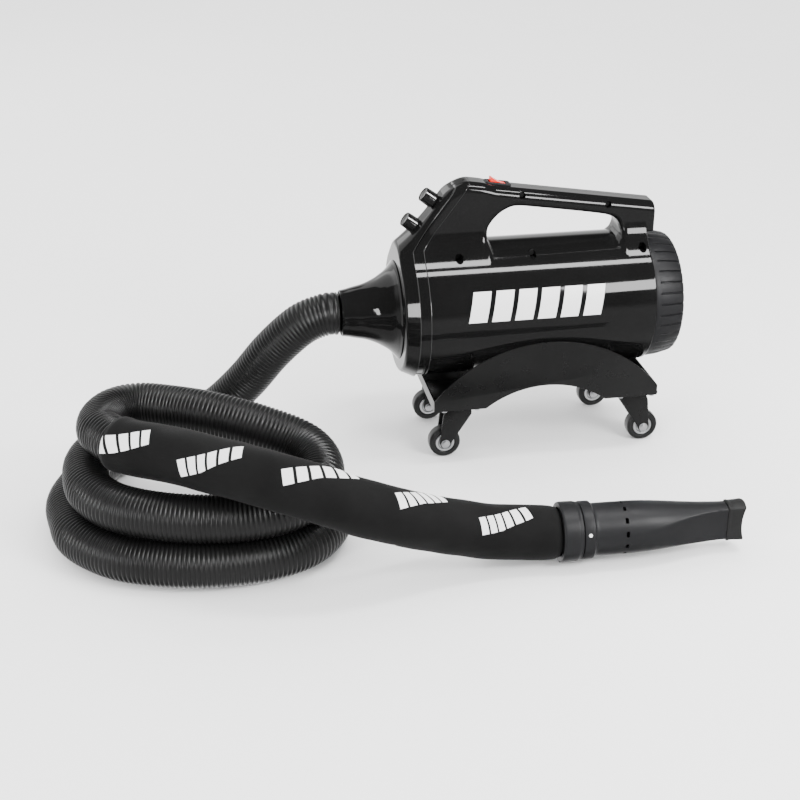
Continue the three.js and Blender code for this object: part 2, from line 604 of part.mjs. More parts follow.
function coil(grow) {
  const lower = pulledZ(oval(-174 - grow, 172 + grow, 101 + grow), GAP - grow, COIL_SHELF + grow);
  const upper = pulledZ(oval(-146 - grow, 150 + grow, 93 + grow), COIL_SHELF - 5, COIL_TOP);
  const corners = [[-200, 6], [-118, -8], [-60, 8], [200, 8], [200, 200], [-200, 200]];
  const back = pulledZ(placed(corners), COIL_SHELF - 6, COIL_TOP + 5);
  const inside = pulledZ(oval(-92, 96, 39), -5, COIL_TOP + 5);
  return cut(lower.add(upper.intersect(back)), inside);
}

function addHose() {
  add('hose_coil', shell(coil(0)), MATTE_BLACK, hose);
  const lead = cut(tube(LEAD_ROUTE, HOSE_R - 0.5, 14), coil(GAP));
  add('hose_lead', shell(largest(lead)), MATTE_BLACK, hose);
  const cuff = ring(MACHINE_MIN_X, -66.5, HOSE_R - 3.5, SOCKET_R - GAP);
  add('hose_cuff', shell(cuff.translate([0, 0, AXIS_HEIGHT])), RUBBER, hose);
  const sleeve = cut(tube(SLEEVE_ROUTE, SLEEVE_R, 16), coil(GAP));
  add('hose_sleeve', shell(largest(sleeve)), FABRIC, hose);
}

// Nozzle pieces are turned about X from the collar's rear face, then set down on the floor.
const nozzleGroup = new THREE.Group();
nozzleGroup.position.set(...NOZZLE_START);
nozzleGroup.rotation.z = NOZZLE_TURN;
hose.add(nozzleGroup);

// Round at the base, narrow and upright at the tip.
function flattened(geometry) {
  const position = geometry.attributes.position;
  for (let i = 0; i < position.count; i += 1) {
    const x = position.getX(i);
    const t = THREE.MathUtils.smoothstep(x, NOZZLE_FLAT_X, NOZZLE_END);
    position.setY(i, position.getY(i) * (1 - 0.66 * t));
    position.setZ(i, position.getZ(i) * (1 - 0.29 * t));
  }
  return geometry;
}

function turnedFlat(profile, segments) {
  const points = profile.map(([x, r]) => new THREE.Vector2(r, x));
  return solid(flattened(new THREE.LatheGeometry(points, segments).rotateZ(-Math.PI / 2)));
}

function addNozzle() {
  const collar = ring(GAP, 23.6, 27.5, 34, 28);
  const tab = box(2, 22.8, -11, 11, -36.6, -30);
  add('nozzle_collar', shell(collar.add(tab.subtract(rod(-1, 40, 29, 28)))), MATTE_BLACK, nozzleGroup);
  const end = NOZZLE_END;
  const stations = [1, 0.75, 0.5, 0.25].map((k) => NOZZLE_FLAT_X + (end - NOZZLE_FLAT_X) * k);
  const inside = stations.map((x) => [x, NOZZLE_R - 2.6]);
  const outside = [...stations].reverse().map((x) => [x, NOZZLE_R]);
  const base = [[24, 25], [24, 33], [37, 33], [40, NOZZLE_R]];
  const profile = [...base, ...outside, ...inside, [38, 27], [38, 25], base[0]];
  const slot = new THREE.BoxGeometry(4, 6, 12).translate(NOZZLE_SLOTS_X, 0, 28);
  const slots = Array.from({ length: 12 }, (_, i) => solid(slot.clone().rotateX(((i + 0.5) * Math.PI) / 6)));
  add('nozzle', shell(cut(turnedFlat(profile, 24), ...slots)), MATTE_BLACK, nozzleGroup);
  const tip = [[end + GAP, 27.4], [end + 3, 31.5], [end + 21, 32.5], [end + 21, 29.5], [end + GAP, 27.4]];
  add('nozzle_tip', shell(turnedFlat(tip, 24)), RUBBER, nozzleGroup);
}

addHousing();
add('front_cover', shell(frontCover()), GLOSS_BLACK);
addControls();
addSwitch();
addNoseCone();
addRearCap();
addCordGland();
addMotor();
addHeater();
addCradle();
CASTERS.forEach(addCaster);
addHose();
addNozzle();

export default model;
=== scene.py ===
import json
import math

import bmesh
import bpy
import numpy as np
from mathutils import Matrix, Vector


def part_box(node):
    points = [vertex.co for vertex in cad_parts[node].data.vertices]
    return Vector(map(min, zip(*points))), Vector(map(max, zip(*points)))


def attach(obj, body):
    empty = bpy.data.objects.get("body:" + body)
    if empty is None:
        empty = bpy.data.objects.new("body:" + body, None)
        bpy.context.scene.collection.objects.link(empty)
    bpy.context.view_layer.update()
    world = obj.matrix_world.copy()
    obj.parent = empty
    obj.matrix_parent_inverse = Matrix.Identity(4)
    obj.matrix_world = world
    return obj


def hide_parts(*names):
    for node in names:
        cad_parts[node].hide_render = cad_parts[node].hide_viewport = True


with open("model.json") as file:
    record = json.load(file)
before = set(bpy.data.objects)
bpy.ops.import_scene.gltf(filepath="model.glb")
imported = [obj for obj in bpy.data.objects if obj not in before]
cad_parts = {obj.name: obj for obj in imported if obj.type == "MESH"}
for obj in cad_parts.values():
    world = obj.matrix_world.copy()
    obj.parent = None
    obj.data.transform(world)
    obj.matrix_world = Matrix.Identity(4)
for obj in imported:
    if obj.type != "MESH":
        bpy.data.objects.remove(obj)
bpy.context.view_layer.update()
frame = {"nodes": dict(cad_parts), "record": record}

# ---- the machine's own axes: millimetres, X along the barrel from the cover's seam, Z from its axis ----
NOSE_LOW, NOSE_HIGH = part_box("nose_cone")
ORIGIN = np.array([NOSE_LOW.x + 0.088, 0.0, (NOSE_LOW.z + NOSE_HIGH.z) / 2])
GROUND = np.array([ORIGIN[0], 0.0, 0.0])
AXIS_HEIGHT = 185
BARREL_R, BARREL_END, SLAB_END = 85.0, 301.0, 312.0
KNEE_Z, SLANT = 87.0, math.radians(37)
FILLET, SEAM = 28.0, 0.15
LID_X, LID_TOP, LID_PITCH = 62, 166, 0.151


def to_row(points, origin=ORIGIN):
    return np.asarray(points, float) * 0.001 + origin


def placed(name, data):
    obj = bpy.data.objects.new(name, data)
    bpy.context.scene.collection.objects.link(obj)
    return obj


# ---- camera ----
VIEW_TURN, VIEW_RISE, VIEW_DISTANCE = math.radians(10.3), math.radians(26.2), 1.85
VIEW_TARGET = [-10.8, 0, -129]
LENS, SENSOR = 63.45, 36


def add_camera():
    a, e = VIEW_TURN, VIEW_RISE
    back = Vector((-math.sin(a) * math.cos(e), -math.cos(a) * math.cos(e), math.sin(e)))
    right = Vector((math.cos(a), -math.sin(a), 0))
    up = back.cross(right)
    data = bpy.data.cameras.new("camera")
    data.lens = LENS
    data.sensor_width = SENSOR
    data.clip_end = 50
    camera = placed("camera", data)
    place = Matrix((right, up, back)).transposed().to_4x4()
    place.translation = Vector(to_row(VIEW_TARGET)) + back * VIEW_DISTANCE
    camera.matrix_world = place
    bpy.context.scene.camera = camera


# ---- node materials ----
PRINT_EDGE = 0.0003


class Graph:
    """Shader nodes on one tree, written as nested calls."""

    def __init__(self, tree):
        self.tree = tree

    def node(self, kind, **settings):
        made = self.tree.nodes.new(kind)
        for key, value in settings.items():
            setattr(made, key, value)
        return made

    def feed(self, socket, value):
        if isinstance(value, bpy.types.NodeSocket):
            self.tree.links.new(value, socket)
        else:
            socket.default_value = value

    def math(self, operation, a, b=0.0, clamp=False):
        made = self.node("ShaderNodeMath", operation=operation, use_clamp=clamp)
        self.feed(made.inputs[0], a)
        self.feed(made.inputs[1], b)
        return made.outputs[0]

    def add(self, a, b):
        return self.math("ADD", a, b)

    def sub(self, a, b, clamp=False):
        return self.math("SUBTRACT", a, b, clamp)

    def mul(self, a, b):
        return self.math("MULTIPLY", a, b)

    def div(self, a, b, clamp=False):
        return self.math("DIVIDE", a, b, clamp)

    def coords(self):
        return self.node("ShaderNodeTexCoord").outputs["Object"]

    def axes(self):
        parts = self.node("ShaderNodeSeparateXYZ")
        self.feed(parts.inputs[0], self.coords())
        return parts.outputs

    def scaled(self, vector, scale):
        made = self.node("ShaderNodeMapping")
        self.feed(made.inputs["Vector"], vector)
        made.inputs["Scale"].default_value = scale
        return made.outputs[0]

    def noise(self, scale, detail=3.0, rough=0.55, vector=None):
        made = self.node("ShaderNodeTexNoise")
        self.feed(made.inputs["Vector"], self.coords() if vector is None else vector)
        made.inputs["Scale"].default_value = scale
        made.inputs["Detail"].default_value = detail
        made.inputs["Roughness"].default_value = rough
        return made.outputs[0]

    def spread(self, value, low, high, start=0.3, end=0.7, kind="LINEAR"):
        """Value from start to end carried over to low to high."""
        made = self.node("ShaderNodeMapRange", clamp=True, interpolation_type=kind)
        self.feed(made.inputs["Value"], value)
        for key, number in zip(("From Min", "From Max", "To Min", "To Max"), (start, end, low, high)):
            made.inputs[key].default_value = number
        return made.outputs[0]

    def mix(self, factor, a, b):
        made = self.node("ShaderNodeMix", data_type="RGBA")
        self.feed(made.inputs["Factor"], factor)
        self.feed(made.inputs["A"], a)
        self.feed(made.inputs["B"], b)
        return made.outputs["Result"]

    def bump(self, height, strength, distance=0.0005, normal=None):
        made = self.node("ShaderNodeBump")
        made.inputs["Strength"].default_value = strength
        made.inputs["Distance"].default_value = distance
        self.feed(made.inputs["Height"], height)
        if normal is not None:
            self.feed(made.inputs["Normal"], normal)
        return made.outputs[0]


class Finish(Graph):
    """A material and its graph."""

    def __init__(self, name):
        self.material = bpy.data.materials.new(name)
        self.material.use_nodes = True
        super().__init__(self.material.node_tree)
        self.shader = self.tree.nodes["Principled BSDF"]

    def set(self, **values):
        """Links each map to its socket, and writes each plain value on the socket itself."""
        for key, value in values.items():
            self.feed(self.shader.inputs[key.replace("_", " ")], value)
        return self.material


def grey(v):
    return (v, v, v, 1)


def shade(tone, factor):
    return (*[min(1, c * factor) for c in tone], 1)


def plastic(name, tone, rough, grain=900.0, grain_strength=0.1, spread=0.25, specular=0.5):
    """Moulded plastic or rubber: slight tone and gloss variation over a fine grain."""
    n = Finish(name)
    cloud = n.noise(18, 4)
    tint = n.mix(n.spread(cloud, 0, 1), shade(tone, 1 - spread), shade(tone, 1 + spread))
    gloss = n.spread(n.noise(70, 5), rough * 0.88, rough * 1.15)
    normal = n.bump(n.noise(grain, 2), grain_strength, 0.0002)
    return n.set(Base_Color=tint, Roughness=gloss, Normal=normal, Specular_IOR_Level=specular)


def gloss_black(name, mark=False, seam=False):
    """Polished black plastic with faint moulding flow, smudges and hairline scuffs.

    seam paints a pale line on the housing's edge at the cover and on the fine groove behind it, a painted
    highlight, and bumps the groove in.
    """
    n = Finish(name)
    x, y, z = n.axes()
    smudge = n.noise(9, 5, 0.6)
    scuff = n.noise(30, 6, 0.7, n.scaled(n.coords(), (0.4, 1, 9)))
    rough = n.add(n.spread(smudge, 0.045, 0.085), n.spread(scuff, 0.0, 0.05, 0.56, 0.74))
    tint = n.mix(n.spread(smudge, 0, 1), grey(0.0042), grey(0.0060))
    flow = n.bump(n.noise(26, 2, 0.4, n.scaled(n.coords(), (0.5, 1, 1))), 0.05, 0.0012)
    normal = n.bump(n.noise(1300, 1), 0.012, 0.0001, flow)
    if seam:
        groove_back, groove_width, edge_highlight_width = 0.0135, 0.0006, 0.0011
        along = n.sub(x, float(ORIGIN[0]))
        rise = n.sub(z, float(ORIGIN[2]) + KNEE_Z * 0.001)
        behind = n.sub(along, n.mul(n.math("MAXIMUM", rise, 0.0), math.tan(SLANT)))
        groove = n.math("ABSOLUTE", n.sub(behind, groove_back))
        line = n.sub(1.0, n.div(groove, groove_width), clamp=True)
        line = n.mul(line, n.spread(rise, 1.0, 0.3, 0.0, 0.004))
        edge = n.sub(1.0, n.div(n.math("ABSOLUTE", behind), edge_highlight_width), clamp=True)
        # Pale grey on the edge and on the groove line: painted highlight.
        tint = n.mix(n.math("MAXIMUM", line, edge), tint, grey(0.045))
        normal = n.bump(line, 0.6, -0.0006, normal)
    if mark:
        white = print_bars(n, x, y, z)
        tint = n.mix(white, tint, grey(0.80))
        rough = n.add(rough, n.mul(white, 0.22))
    return n.set(Base_Color=tint, Roughness=rough, Normal=normal, Specular_IOR_Level=0.28)


def window(n, value, low, high):
    """1 where value lies between low and high, with a soft edge."""
    up = n.div(n.sub(value, low), PRINT_EDGE, clamp=True)
    down = n.div(n.sub(high, value), PRINT_EDGE, clamp=True)
    return n.mul(up, down)


def print_bars(n, x, y, z):
    """Row of plain slanted white bars printed on the near side of the barrel."""
    start_x, start_z, lean = 0.058, 0.0095, 0.22
    pitch, height, length = 0.029, 0.036, 0.1735
    along = n.sub(x, float(ORIGIN[0]) + start_x)
    rise = n.sub(z, float(ORIGIN[2]) + start_z)
    leaning = n.sub(along, n.mul(rise, lean))
    stripes = n.math("MODULO", n.add(leaning, 34 * pitch), pitch)
    bars = window(n, stripes, 0.0015, 0.0245)
    band = n.mul(window(n, rise, 0.0, height), window(n, leaning, 0.0, length))
    near = n.math("LESS_THAN", y, 0.0)
    return n.mul(n.mul(bars, band), near)


def metal(name, tone, rough, scratch=(1, 1, 12)):
    """Plated or machined metal with directional scratches and dull patches."""
    n = Finish(name)
    patch = n.noise(45, 4)
    lines = n.noise(260, 4, 0.6, n.scaled(n.coords(), scratch))
    tint = n.mix(n.spread(patch, 0, 1), shade(tone, 0.8), shade(tone, 1.1))
    gloss = n.add(n.spread(patch, rough * 0.8, rough * 1.3), n.spread(lines, 0, 0.08))
    return n.set(Base_Color=tint, Roughness=gloss, Normal=n.bump(lines, 0.08, 0.0002), Metallic=1.0)


def powder_coat(name):
    """Satin black powder coat: fine orange peel with a little dust."""
    n = Finish(name)
    cloud = n.noise(12, 4)
    tint = n.mix(n.spread(cloud, 0, 1), grey(0.0036), grey(0.006075))
    rough = n.spread(n.noise(60, 4), 0.26, 0.32)
    normal = n.bump(n.noise(800, 2), 0.03, 0.0001)
    return n.set(Base_Color=tint, Roughness=rough, Normal=normal, Specular_IOR_Level=0.35)


def hose_plastic(name):
    """Satin black hose: uneven gloss and faint dust."""
    n = Finish(name)
    cloud = n.noise(14, 4)
    tint = n.mix(n.spread(cloud, 0, 1), grey(0.0032), grey(0.0060))
    rough = n.spread(n.noise(120, 4), 0.32, 0.42)
    return n.set(Base_Color=tint, Roughness=rough, Normal=n.bump(n.noise(1500, 2), 0.06, 0.0001))


def sleeve_cloth(name):
    """Dull black woven cloth with groups of plain slanted white bars printed on it."""
    n = Finish(name)
    uv = n.node("ShaderNodeUVMap", uv_map="lay").outputs[0]
    parts = n.node("ShaderNodeSeparateXYZ")
    n.feed(parts.inputs[0], uv)
    along, around = parts.outputs[0], parts.outputs[1]
    pitch, rows, row_shift, start = 0.112, 0.098, 0.043, 0.0835
    tilt, lean = 0.42, 0.36
    bar_pitch, bar_width, half_height = 0.0134, 0.0105, 0.0106
    half_length = 3 * bar_pitch
    row = n.math("FLOOR", n.div(around, rows))
    shifted = n.add(along, n.add(n.mul(row, row_shift), start))
    cell = n.sub(n.math("MODULO", shifted, pitch), pitch / 2)
    level = n.sub(n.math("MODULO", around, rows), rows / 2)
    tilted = n.add(level, n.mul(cell, tilt))
    leaning = n.sub(cell, n.mul(level, lean))
    stripes = n.math("MODULO", n.add(leaning, half_length + 10 * bar_pitch), bar_pitch)
    bars = window(n, stripes, 0.0, bar_width)
    block = n.mul(window(n, leaning, -half_length, half_length), window(n, tilted, -half_height, half_height))
    white = n.mul(bars, block)
    warp = n.node("ShaderNodeTexWave", wave_type="BANDS", bands_direction="X")
    weft = n.node("ShaderNodeTexWave", wave_type="BANDS", bands_direction="Y")
    for wave in (warp, weft):
        n.feed(wave.inputs["Vector"], uv)
        wave.inputs["Scale"].default_value = 320
        wave.inputs["Distortion"].default_value = 1.2
        wave.inputs["Detail"].default_value = 1
    weave = n.mul(warp.outputs["Fac"], weft.outputs["Fac"])
    cloud = n.noise(22, 5)
    tint = n.mix(n.spread(cloud, 0, 1), grey(0.0014), grey(0.0028))
    tint = n.mix(n.mul(white, n.spread(n.noise(500, 2), 0.9, 1.0)), tint, grey(0.82))
    return n.set(Base_Color=tint, Roughness=n.spread(weave, 0.78, 0.93, 0, 1),
                 Normal=n.bump(weave, 0.25, 0.0004), Sheen_Weight=0.02, Specular_IOR_Level=0.25)


GLOSS = gloss_black("gloss_black")
GLOSS_PRINTED = gloss_black("gloss_black_printed", mark=True, seam=True)
GLOSS_SEAM = gloss_black("gloss_black_seam", seam=True)
MOULDED = plastic("moulded_black", (0.0075, 0.0075, 0.0083), 0.46, 1100, 0.12, specular=0.3)
HOSE = hose_plastic("hose_plastic")
CLOTH = sleeve_cloth("sleeve_fabric")
RUBBER = plastic("rubber", (0.005, 0.005, 0.005), 0.62, 700, 0.2)
TREAD = plastic("caster_tread", (0.005, 0.005, 0.005), 0.40, 600, 0.12)
COATED = powder_coat("sheet_black")
ZINC = metal("zinc_steel", (0.84, 0.84, 0.86), 0.42)
CHROME = metal("hub_chrome", (0.90, 0.91, 0.93), 0.34, (1, 1, 1))
DARK_SCREW = plastic("screw_black", (0.006, 0.006, 0.006), 0.45, 900, 0.1, specular=0.2)
LAMINATION = metal("lamination", (0.22, 0.22, 0.23), 0.45, (30, 1, 1))
COPPER = metal("copper_winding", (0.62, 0.27, 0.12), 0.35, (14, 1, 1))
MICA = plastic("mica", (0.45, 0.36, 0.22), 0.6, 300, 0.2)
BOARD = plastic("board_green", (0.03, 0.11, 0.05), 0.4, 400, 0.2)
FOAM = plastic("filter_foam", (0.05, 0.05, 0.055), 0.95, 260, 1.0, 0.4)
RED = plastic("switch_red", (0.62, 0.018, 0.008), 0.22, 500, 0.05, 0.08)
RED_SOCKETS = RED.node_tree.nodes["Principled BSDF"].inputs
# Faint red emission: a painted glow standing in for light through the translucent rocker.
RED_SOCKETS["Emission Color"].default_value = (1, 0.02, 0.0, 1)
RED_SOCKETS["Emission Strength"].default_value = 0.12
# Caster plate: dark metal in place of its slot's zinc.
DARK_PLATE = metal("caster_plate_black", (0.05, 0.05, 0.052), 0.42)
WHITE = plastic("print_white", (0.8, 0.8, 0.8), 0.4, 500, 0.05, 0.03)
SLOT_MATERIAL = {
    "gloss_black": GLOSS, "moulded_black": MOULDED, "hose_plastic": HOSE, "sleeve_fabric": CLOTH,
    "rubber": RUBBER, "sheet_black": COATED, "zinc_steel": ZINC, "lamination": LAMINATION,
    "copper_winding": COPPER, "board_green": BOARD, "mica": MICA, "filter_foam": FOAM,
    "caster_tread": TREAD, "switch_red": RED, "black_oxide": DARK_SCREW,
}
NODE_SLOT = {row["node"]: row["material_slot"] for row in frame["record"]["subparts"]}
NODE_BODY = {node: body for body, nodes in frame["record"]["behaviour"]["bodies"].items() for node in nodes}


def dress(obj, nodes, material=None):
    """The piece stands for these CAD nodes, rides on their body and takes their slot's finish."""
    slot = NODE_SLOT[nodes[0]]
    obj.data.materials.clear()
    obj.data.materials.append(material or SLOT_MATERIAL[slot])
    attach(obj, NODE_BODY[nodes[0]])
    return obj


def stand_in(obj, *nodes, material=None):
    dress(obj, nodes, material)
    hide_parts(*nodes)
    return obj


# ---- meshes ----
def make_object(name, points, faces):
    mesh = bpy.data.meshes.new(name)
    mesh.from_pydata([tuple(p) for p in np.asarray(points).tolist()], [], [tuple(f) for f in faces])
    mesh.polygons.foreach_set("use_smooth", [True] * len(mesh.polygons))
    return placed(name, mesh)


def closed_object(name, points, faces):
    """Object whose faces all look outwards."""
    obj = make_object(name, points, faces)
    bm = bmesh.new()
    bm.from_mesh(obj.data)
    bmesh.ops.recalc_face_normals(bm, faces=bm.faces)
    bm.to_mesh(obj.data)
    bm.free()
    return obj


def crease(obj, degrees=32):
    obj.data.set_sharp_from_angle(angle=math.radians(degrees))
    return obj


def grid_faces(rows, columns, wrap_rows=False):
    """Quads over rings of points that follow each other."""
    r = np.arange(rows if wrap_rows else rows - 1)
    a, b = np.meshgrid(r, np.arange(columns), indexing="ij")
    a, b = a.ravel(), b.ravel()
    a2, b2 = (a + 1) % rows, (b + 1) % columns
    return np.stack([a * columns + b, a2 * columns + b, a2 * columns + b2, a * columns + b2], 1)


def rounded(profile, radius, steps=3):
    """Closed or open profile with its inner corners cut by small arcs."""
    points = [np.array(p[:2], float) for p in profile]
    out = [points[0]]
    for before, here, after in zip(points, points[1:], points[2:]):
        a, b = before - here, after - here
        la, lb = np.linalg.norm(a), np.linalg.norm(b)
        r = min(radius, la * 0.45, lb * 0.45)
        start, end = here + a / la * r, here + b / lb * r
        for i in range(steps + 1):
            t = i / steps
            out.append((1 - t) ** 2 * start + 2 * t * (1 - t) * here + t * t * end)
    out.append(points[-1])
    return out


def smooth_line(points, steps):
    """Catmull-Rom line through the points, steps samples to a span."""
    p = np.array(points, float)
    p = np.vstack([2 * p[0] - p[1], p, 2 * p[-1] - p[-2]])
    out = []
    for i in range(1, len(p) - 2):
        a, b, c, d = p[i - 1], p[i], p[i + 1], p[i + 2]
        for t in np.arange(steps) / steps:
            bend, twist = 2 * a - 5 * b + 4 * c - d, 3 * b - a - 3 * c + d
            out.append(0.5 * (2 * b + (c - a) * t + bend * t**2 + twist * t**3))
    out.append(p[-2])
    return np.array(out)


def lathe(name, profile, segments=96, shape=None, axis="x", at=(0, 0, 0)):
    """Closed body turned about an axis from (along, radius) points; radius 0 closes a pole."""
    profile = [(float(a), max(float(r), 0.0)) for a, r in profile]
    closed = profile[0][1] > 1e-9
    turn = np.arange(segments) * 2 * math.pi / segments
    rings, poles = [], {}
    for i, (a, r) in enumerate(profile):
        if r < 1e-9:
            poles[i] = a
        else:
            rings.append(np.stack([np.full(segments, a), r * np.cos(turn), r * np.sin(turn)], 1))
    points = np.concatenate(rings)
    faces = grid_faces(len(rings), segments, wrap_rows=closed)[:, ::-1].tolist()
    if not closed:
        first, last = len(points), len(points) + 1
        points = np.vstack([points, [profile[0][0], 0, 0], [profile[-1][0], 0, 0]])
        base = (len(rings) - 1) * segments
        for j in range(segments):
            k = (j + 1) % segments
            faces.append([first, j, k])
            faces.append([last, base + k, base + j])
    if shape is not None:
        points = shape(points)
    if axis == "y":
        points = points[:, [2, 0, 1]]
    if axis == "z":
        points = points[:, [1, 2, 0]]
    points = points + np.array(at, float)
    return crease(closed_object(name, to_row(points), faces))


def bevelled(obj, width, segments=2):
    """Bevel in metres, as a modifier."""
    modifier = obj.modifiers.new("edge", "BEVEL")
    modifier.width = width
    modifier.segments = segments
    modifier.limit_method = "ANGLE"
    modifier.angle_limit = math.radians(35)
    return obj


# ---- solids from fields: each field is negative inside, and the solid is where all of them are ----
def round_union(a, b, r):
    return np.maximum(r, np.minimum(a, b)) - np.hypot(np.maximum(r - a, 0), np.maximum(r - b, 0))


def round_cut(a, b, r):
    return np.minimum(-r, np.maximum(a, b)) + np.hypot(np.maximum(r + a, 0), np.maximum(r + b, 0))


def ease(x, low, high):
    t = np.clip((x - low) / (high - low), 0, 1)
    return t * t * (3 - 2 * t)


def field_values(fields, points):
    x, y, z = points[:, 0], points[:, 1], points[:, 2]
    return np.stack([np.broadcast_to(f(x, y, z), x.shape) for f in fields], 1)


def field_slopes(fields, points, step=0.02):
    slopes = []
    for axis in range(3):
        move = np.zeros(3)
        move[axis] = step
        ahead, behind = field_values(fields, points + move), field_values(fields, points - move)
        slopes.append((ahead - behind) / (2 * step))
    slope = np.stack(slopes, -1)
    return slope / np.maximum(np.linalg.norm(slope, axis=-1, keepdims=True), 1e-6)


def nets(values, axes):
    """Surface nets: one vertex for each cell that the zero surface crosses."""
    shape = np.array(values.shape)
    cells = shape - 1
    total = np.zeros((cells.prod(), 3))
    count = np.zeros(cells.prod())
    quads = []
    inside = values < 0
    for axis in range(3):
        low, high = [slice(None)] * 3, [slice(None)] * 3
        low[axis], high[axis] = slice(0, -1), slice(1, None)
        at = np.argwhere(inside[tuple(low)] != inside[tuple(high)])
        a, b = (axis + 1) % 3, (axis + 2) % 3
        at = at[(at[:, a] > 0) & (at[:, a] < shape[a] - 1) & (at[:, b] > 0) & (at[:, b] < shape[b] - 1)]
        ahead = at.copy()
        ahead[:, axis] += 1
        v0, v1 = values[tuple(at.T)], values[tuple(ahead.T)]
        point = np.stack([axes[k][at[:, k]] for k in range(3)], 1)
        point[:, axis] += (axes[axis][ahead[:, axis]] - point[:, axis]) * v0 / (v0 - v1)
        corners = []
        for da, db in ((0, 0), (-1, 0), (-1, -1), (0, -1)):
            cell = at.copy()
            cell[:, a] += da
            cell[:, b] += db
            index = (cell[:, 0] * cells[1] + cell[:, 1]) * cells[2] + cell[:, 2]
            corners.append(index)
            count += np.bincount(index, minlength=len(count))
            for k in range(3):
                total[:, k] += np.bincount(index, weights=point[:, k], minlength=len(count))
        quad = np.stack(corners, 1)
        quads.append(np.where((v0 < 0)[:, None], quad, quad[:, ::-1]))
    used = np.flatnonzero(count)
    number = np.full(len(count), -1)
    number[used] = np.arange(len(used))
    return total[used] / count[used, None], number[np.concatenate(quads)]


def field_solid(name, fields, axes, reach):
    """Mesh of a solid, with its vertices on the fields' surfaces and creases and normals to match."""
    x, y, z = axes[0][:, None, None], axes[1][None, :, None], axes[2][None, None, :]
    values = fields[0](x, y, z)
    for f in fields[1:]:
        values = np.maximum(values, f(x, y, z))
    points, quads = nets(np.broadcast_to(values, [len(a) for a in axes]), axes)
    start = points.copy()
    for _ in range(6):
        value = field_values(fields, points)
        active = value > -reach
        slope = field_slopes(fields, points) * active[..., None]
        gram = slope @ slope.transpose(0, 2, 1) + 0.02 * np.eye(len(fields))
        push = np.linalg.solve(gram, (value * active)[..., None])
        points = points - (slope.transpose(0, 2, 1) @ push)[..., 0]
        points = start + np.clip(points - start, -1.6 * reach, 1.6 * reach)
    obj = make_object(name, to_row(points), quads.tolist())
    active = field_values(fields, points) > -0.25
    slope = field_slopes(fields, points)
    mesh = obj.data
    face_normal = np.zeros(len(mesh.polygons) * 3)
    mesh.polygons.foreach_get("normal", face_normal)
    face_normal = face_normal.reshape(-1, 3)
    corner_vertex = quads.ravel()
    corner_face = np.repeat(face_normal, 4, 0)
    match = np.einsum("nkc,nc->nk", slope[corner_vertex], corner_face)
    match[~active[corner_vertex]] = -2
    best = match.argmax(1)
    normal = slope[corner_vertex, best]
    lost = match[np.arange(len(best)), best] < 0.3
    normal[lost] = corner_face[lost]
    mesh.normals_split_custom_set(normal.tolist())
    return obj


# ---- the housing and its cover ----
KNOB_U = (61.7, 23.3)
GRIP_HOLE = [(101, 84), (95.5, 95), (97, 108), (106, 121), (118, 130), (133, 134), (165, 129.8),
             (198, 124.8), (230, 119.6), (250, 115.5), (262, 109.5), (268.5, 99), (268, 89), (264, 84)]
# Screw wells: place along and above the axis, depth of the seat, radius.
WELLS = [(56.5, 77.5, -25, 5.2), (150, 76.6, -28, 4.4), (292, 77.4, -25, 5.2), (138.7, 147.5, -13, 4.2),
         (249.7, 129.6, -13, 4.2)]


def hole_outline():
    upper = smooth_line(GRIP_HOLE[1:-1], 5)
    return [GRIP_HOLE[0], *[tuple(p) for p in upper], GRIP_HOLE[-1]]


HOLE_LINE = hole_outline()


def slant(x, z):
    """Distance in front of the slanted seam."""
    return (z - KNEE_Z) * math.sin(SLANT) - x * math.cos(SLANT)


def lid(x, z):
    """Distance above the handle's sloping top, which is level over the head."""
    top = LID_TOP - LID_PITCH * (x - LID_X) + 2.2 * np.exp(-(((x - 80) / 20) ** 4))
    return (z - top) / math.hypot(1, LID_PITCH)


def crown(x, z):
    """Distance outside the handle's top and its rounded front corner."""
    return round_cut(lid(x, z), slant(x, z) - 6, 20)


def slab(x, y, z):
    return np.maximum(round_cut(crown(x, z), np.abs(y) - 22, 13), 30 - z)


def grip_hole(x, z):
    """Distance outside the finger opening's outline."""
    best, inside = np.inf, False
    for (ax, az), (bx, bz) in zip(HOLE_LINE, HOLE_LINE[1:] + HOLE_LINE[:1]):
        ex, ez = bx - ax, bz - az
        t = np.clip(((x - ax) * ex + (z - az) * ez) / (ex * ex + ez * ez), 0, 1)
        best = np.minimum(best, (x - ax - t * ex) ** 2 + (z - az - t * ez) ** 2)
        if az != bz:
            inside = inside ^ (((az <= z) != (bz <= z)) & (x < ax + (z - az) * ex / ez))
    return np.where(inside, -1, 1) * np.sqrt(best)


def body_outer(x, y, z):
    bar = slab(x, y, z)
    trunk = round_cut(round_union(np.hypot(y, z) - BARREL_R, bar, FILLET), x - BARREL_END, 1.2)
    tail = round_cut(round_cut(bar, x - SLAB_END, 2.5), 91 - z, 2.5)
    barrel = round_cut(np.hypot(y, z) - BARREL_R, x - BARREL_END, 1.2)
    sink = np.maximum(84.0 - np.sqrt(BARREL_R**2 - np.minimum(np.abs(y), 62) ** 2), 0)
    lowered = z + sink * (1 - ease(z, 86, 104))
    return np.minimum(barrel, round_cut(np.minimum(trunk, tail), -grip_hole(x, lowered), 6.5))


def body_hollow(x, y, z):
    pocket = round_cut(np.abs(y) - 18.5, crown(x, z) + 3.5, 10)
    pocket = np.maximum(np.maximum(pocket, 60 - z), np.maximum(x - 308, 4 - grip_hole(x, z)))
    hollow = np.minimum(np.hypot(y, z) - 82, pocket)
    for wx, wz, _, wr in WELLS:
        hollow = np.maximum(hollow, wr + 2.2 - np.hypot(x - wx, z - wz))
    return hollow


def wells(x, y, z):
    depth = 99.0
    for wx, wz, seat, wr in WELLS:
        depth = np.minimum(depth, np.maximum(np.hypot(x - wx, z - wz) - wr, y - seat))
    return depth


def cover_outer(x, y, z):
    cone = (np.hypot(y, z) - (87 + 0.5 * x)) * 0.894
    return round_cut(round_union(cone, slab(x, y, z), FILLET), -17 - x, 2.5)


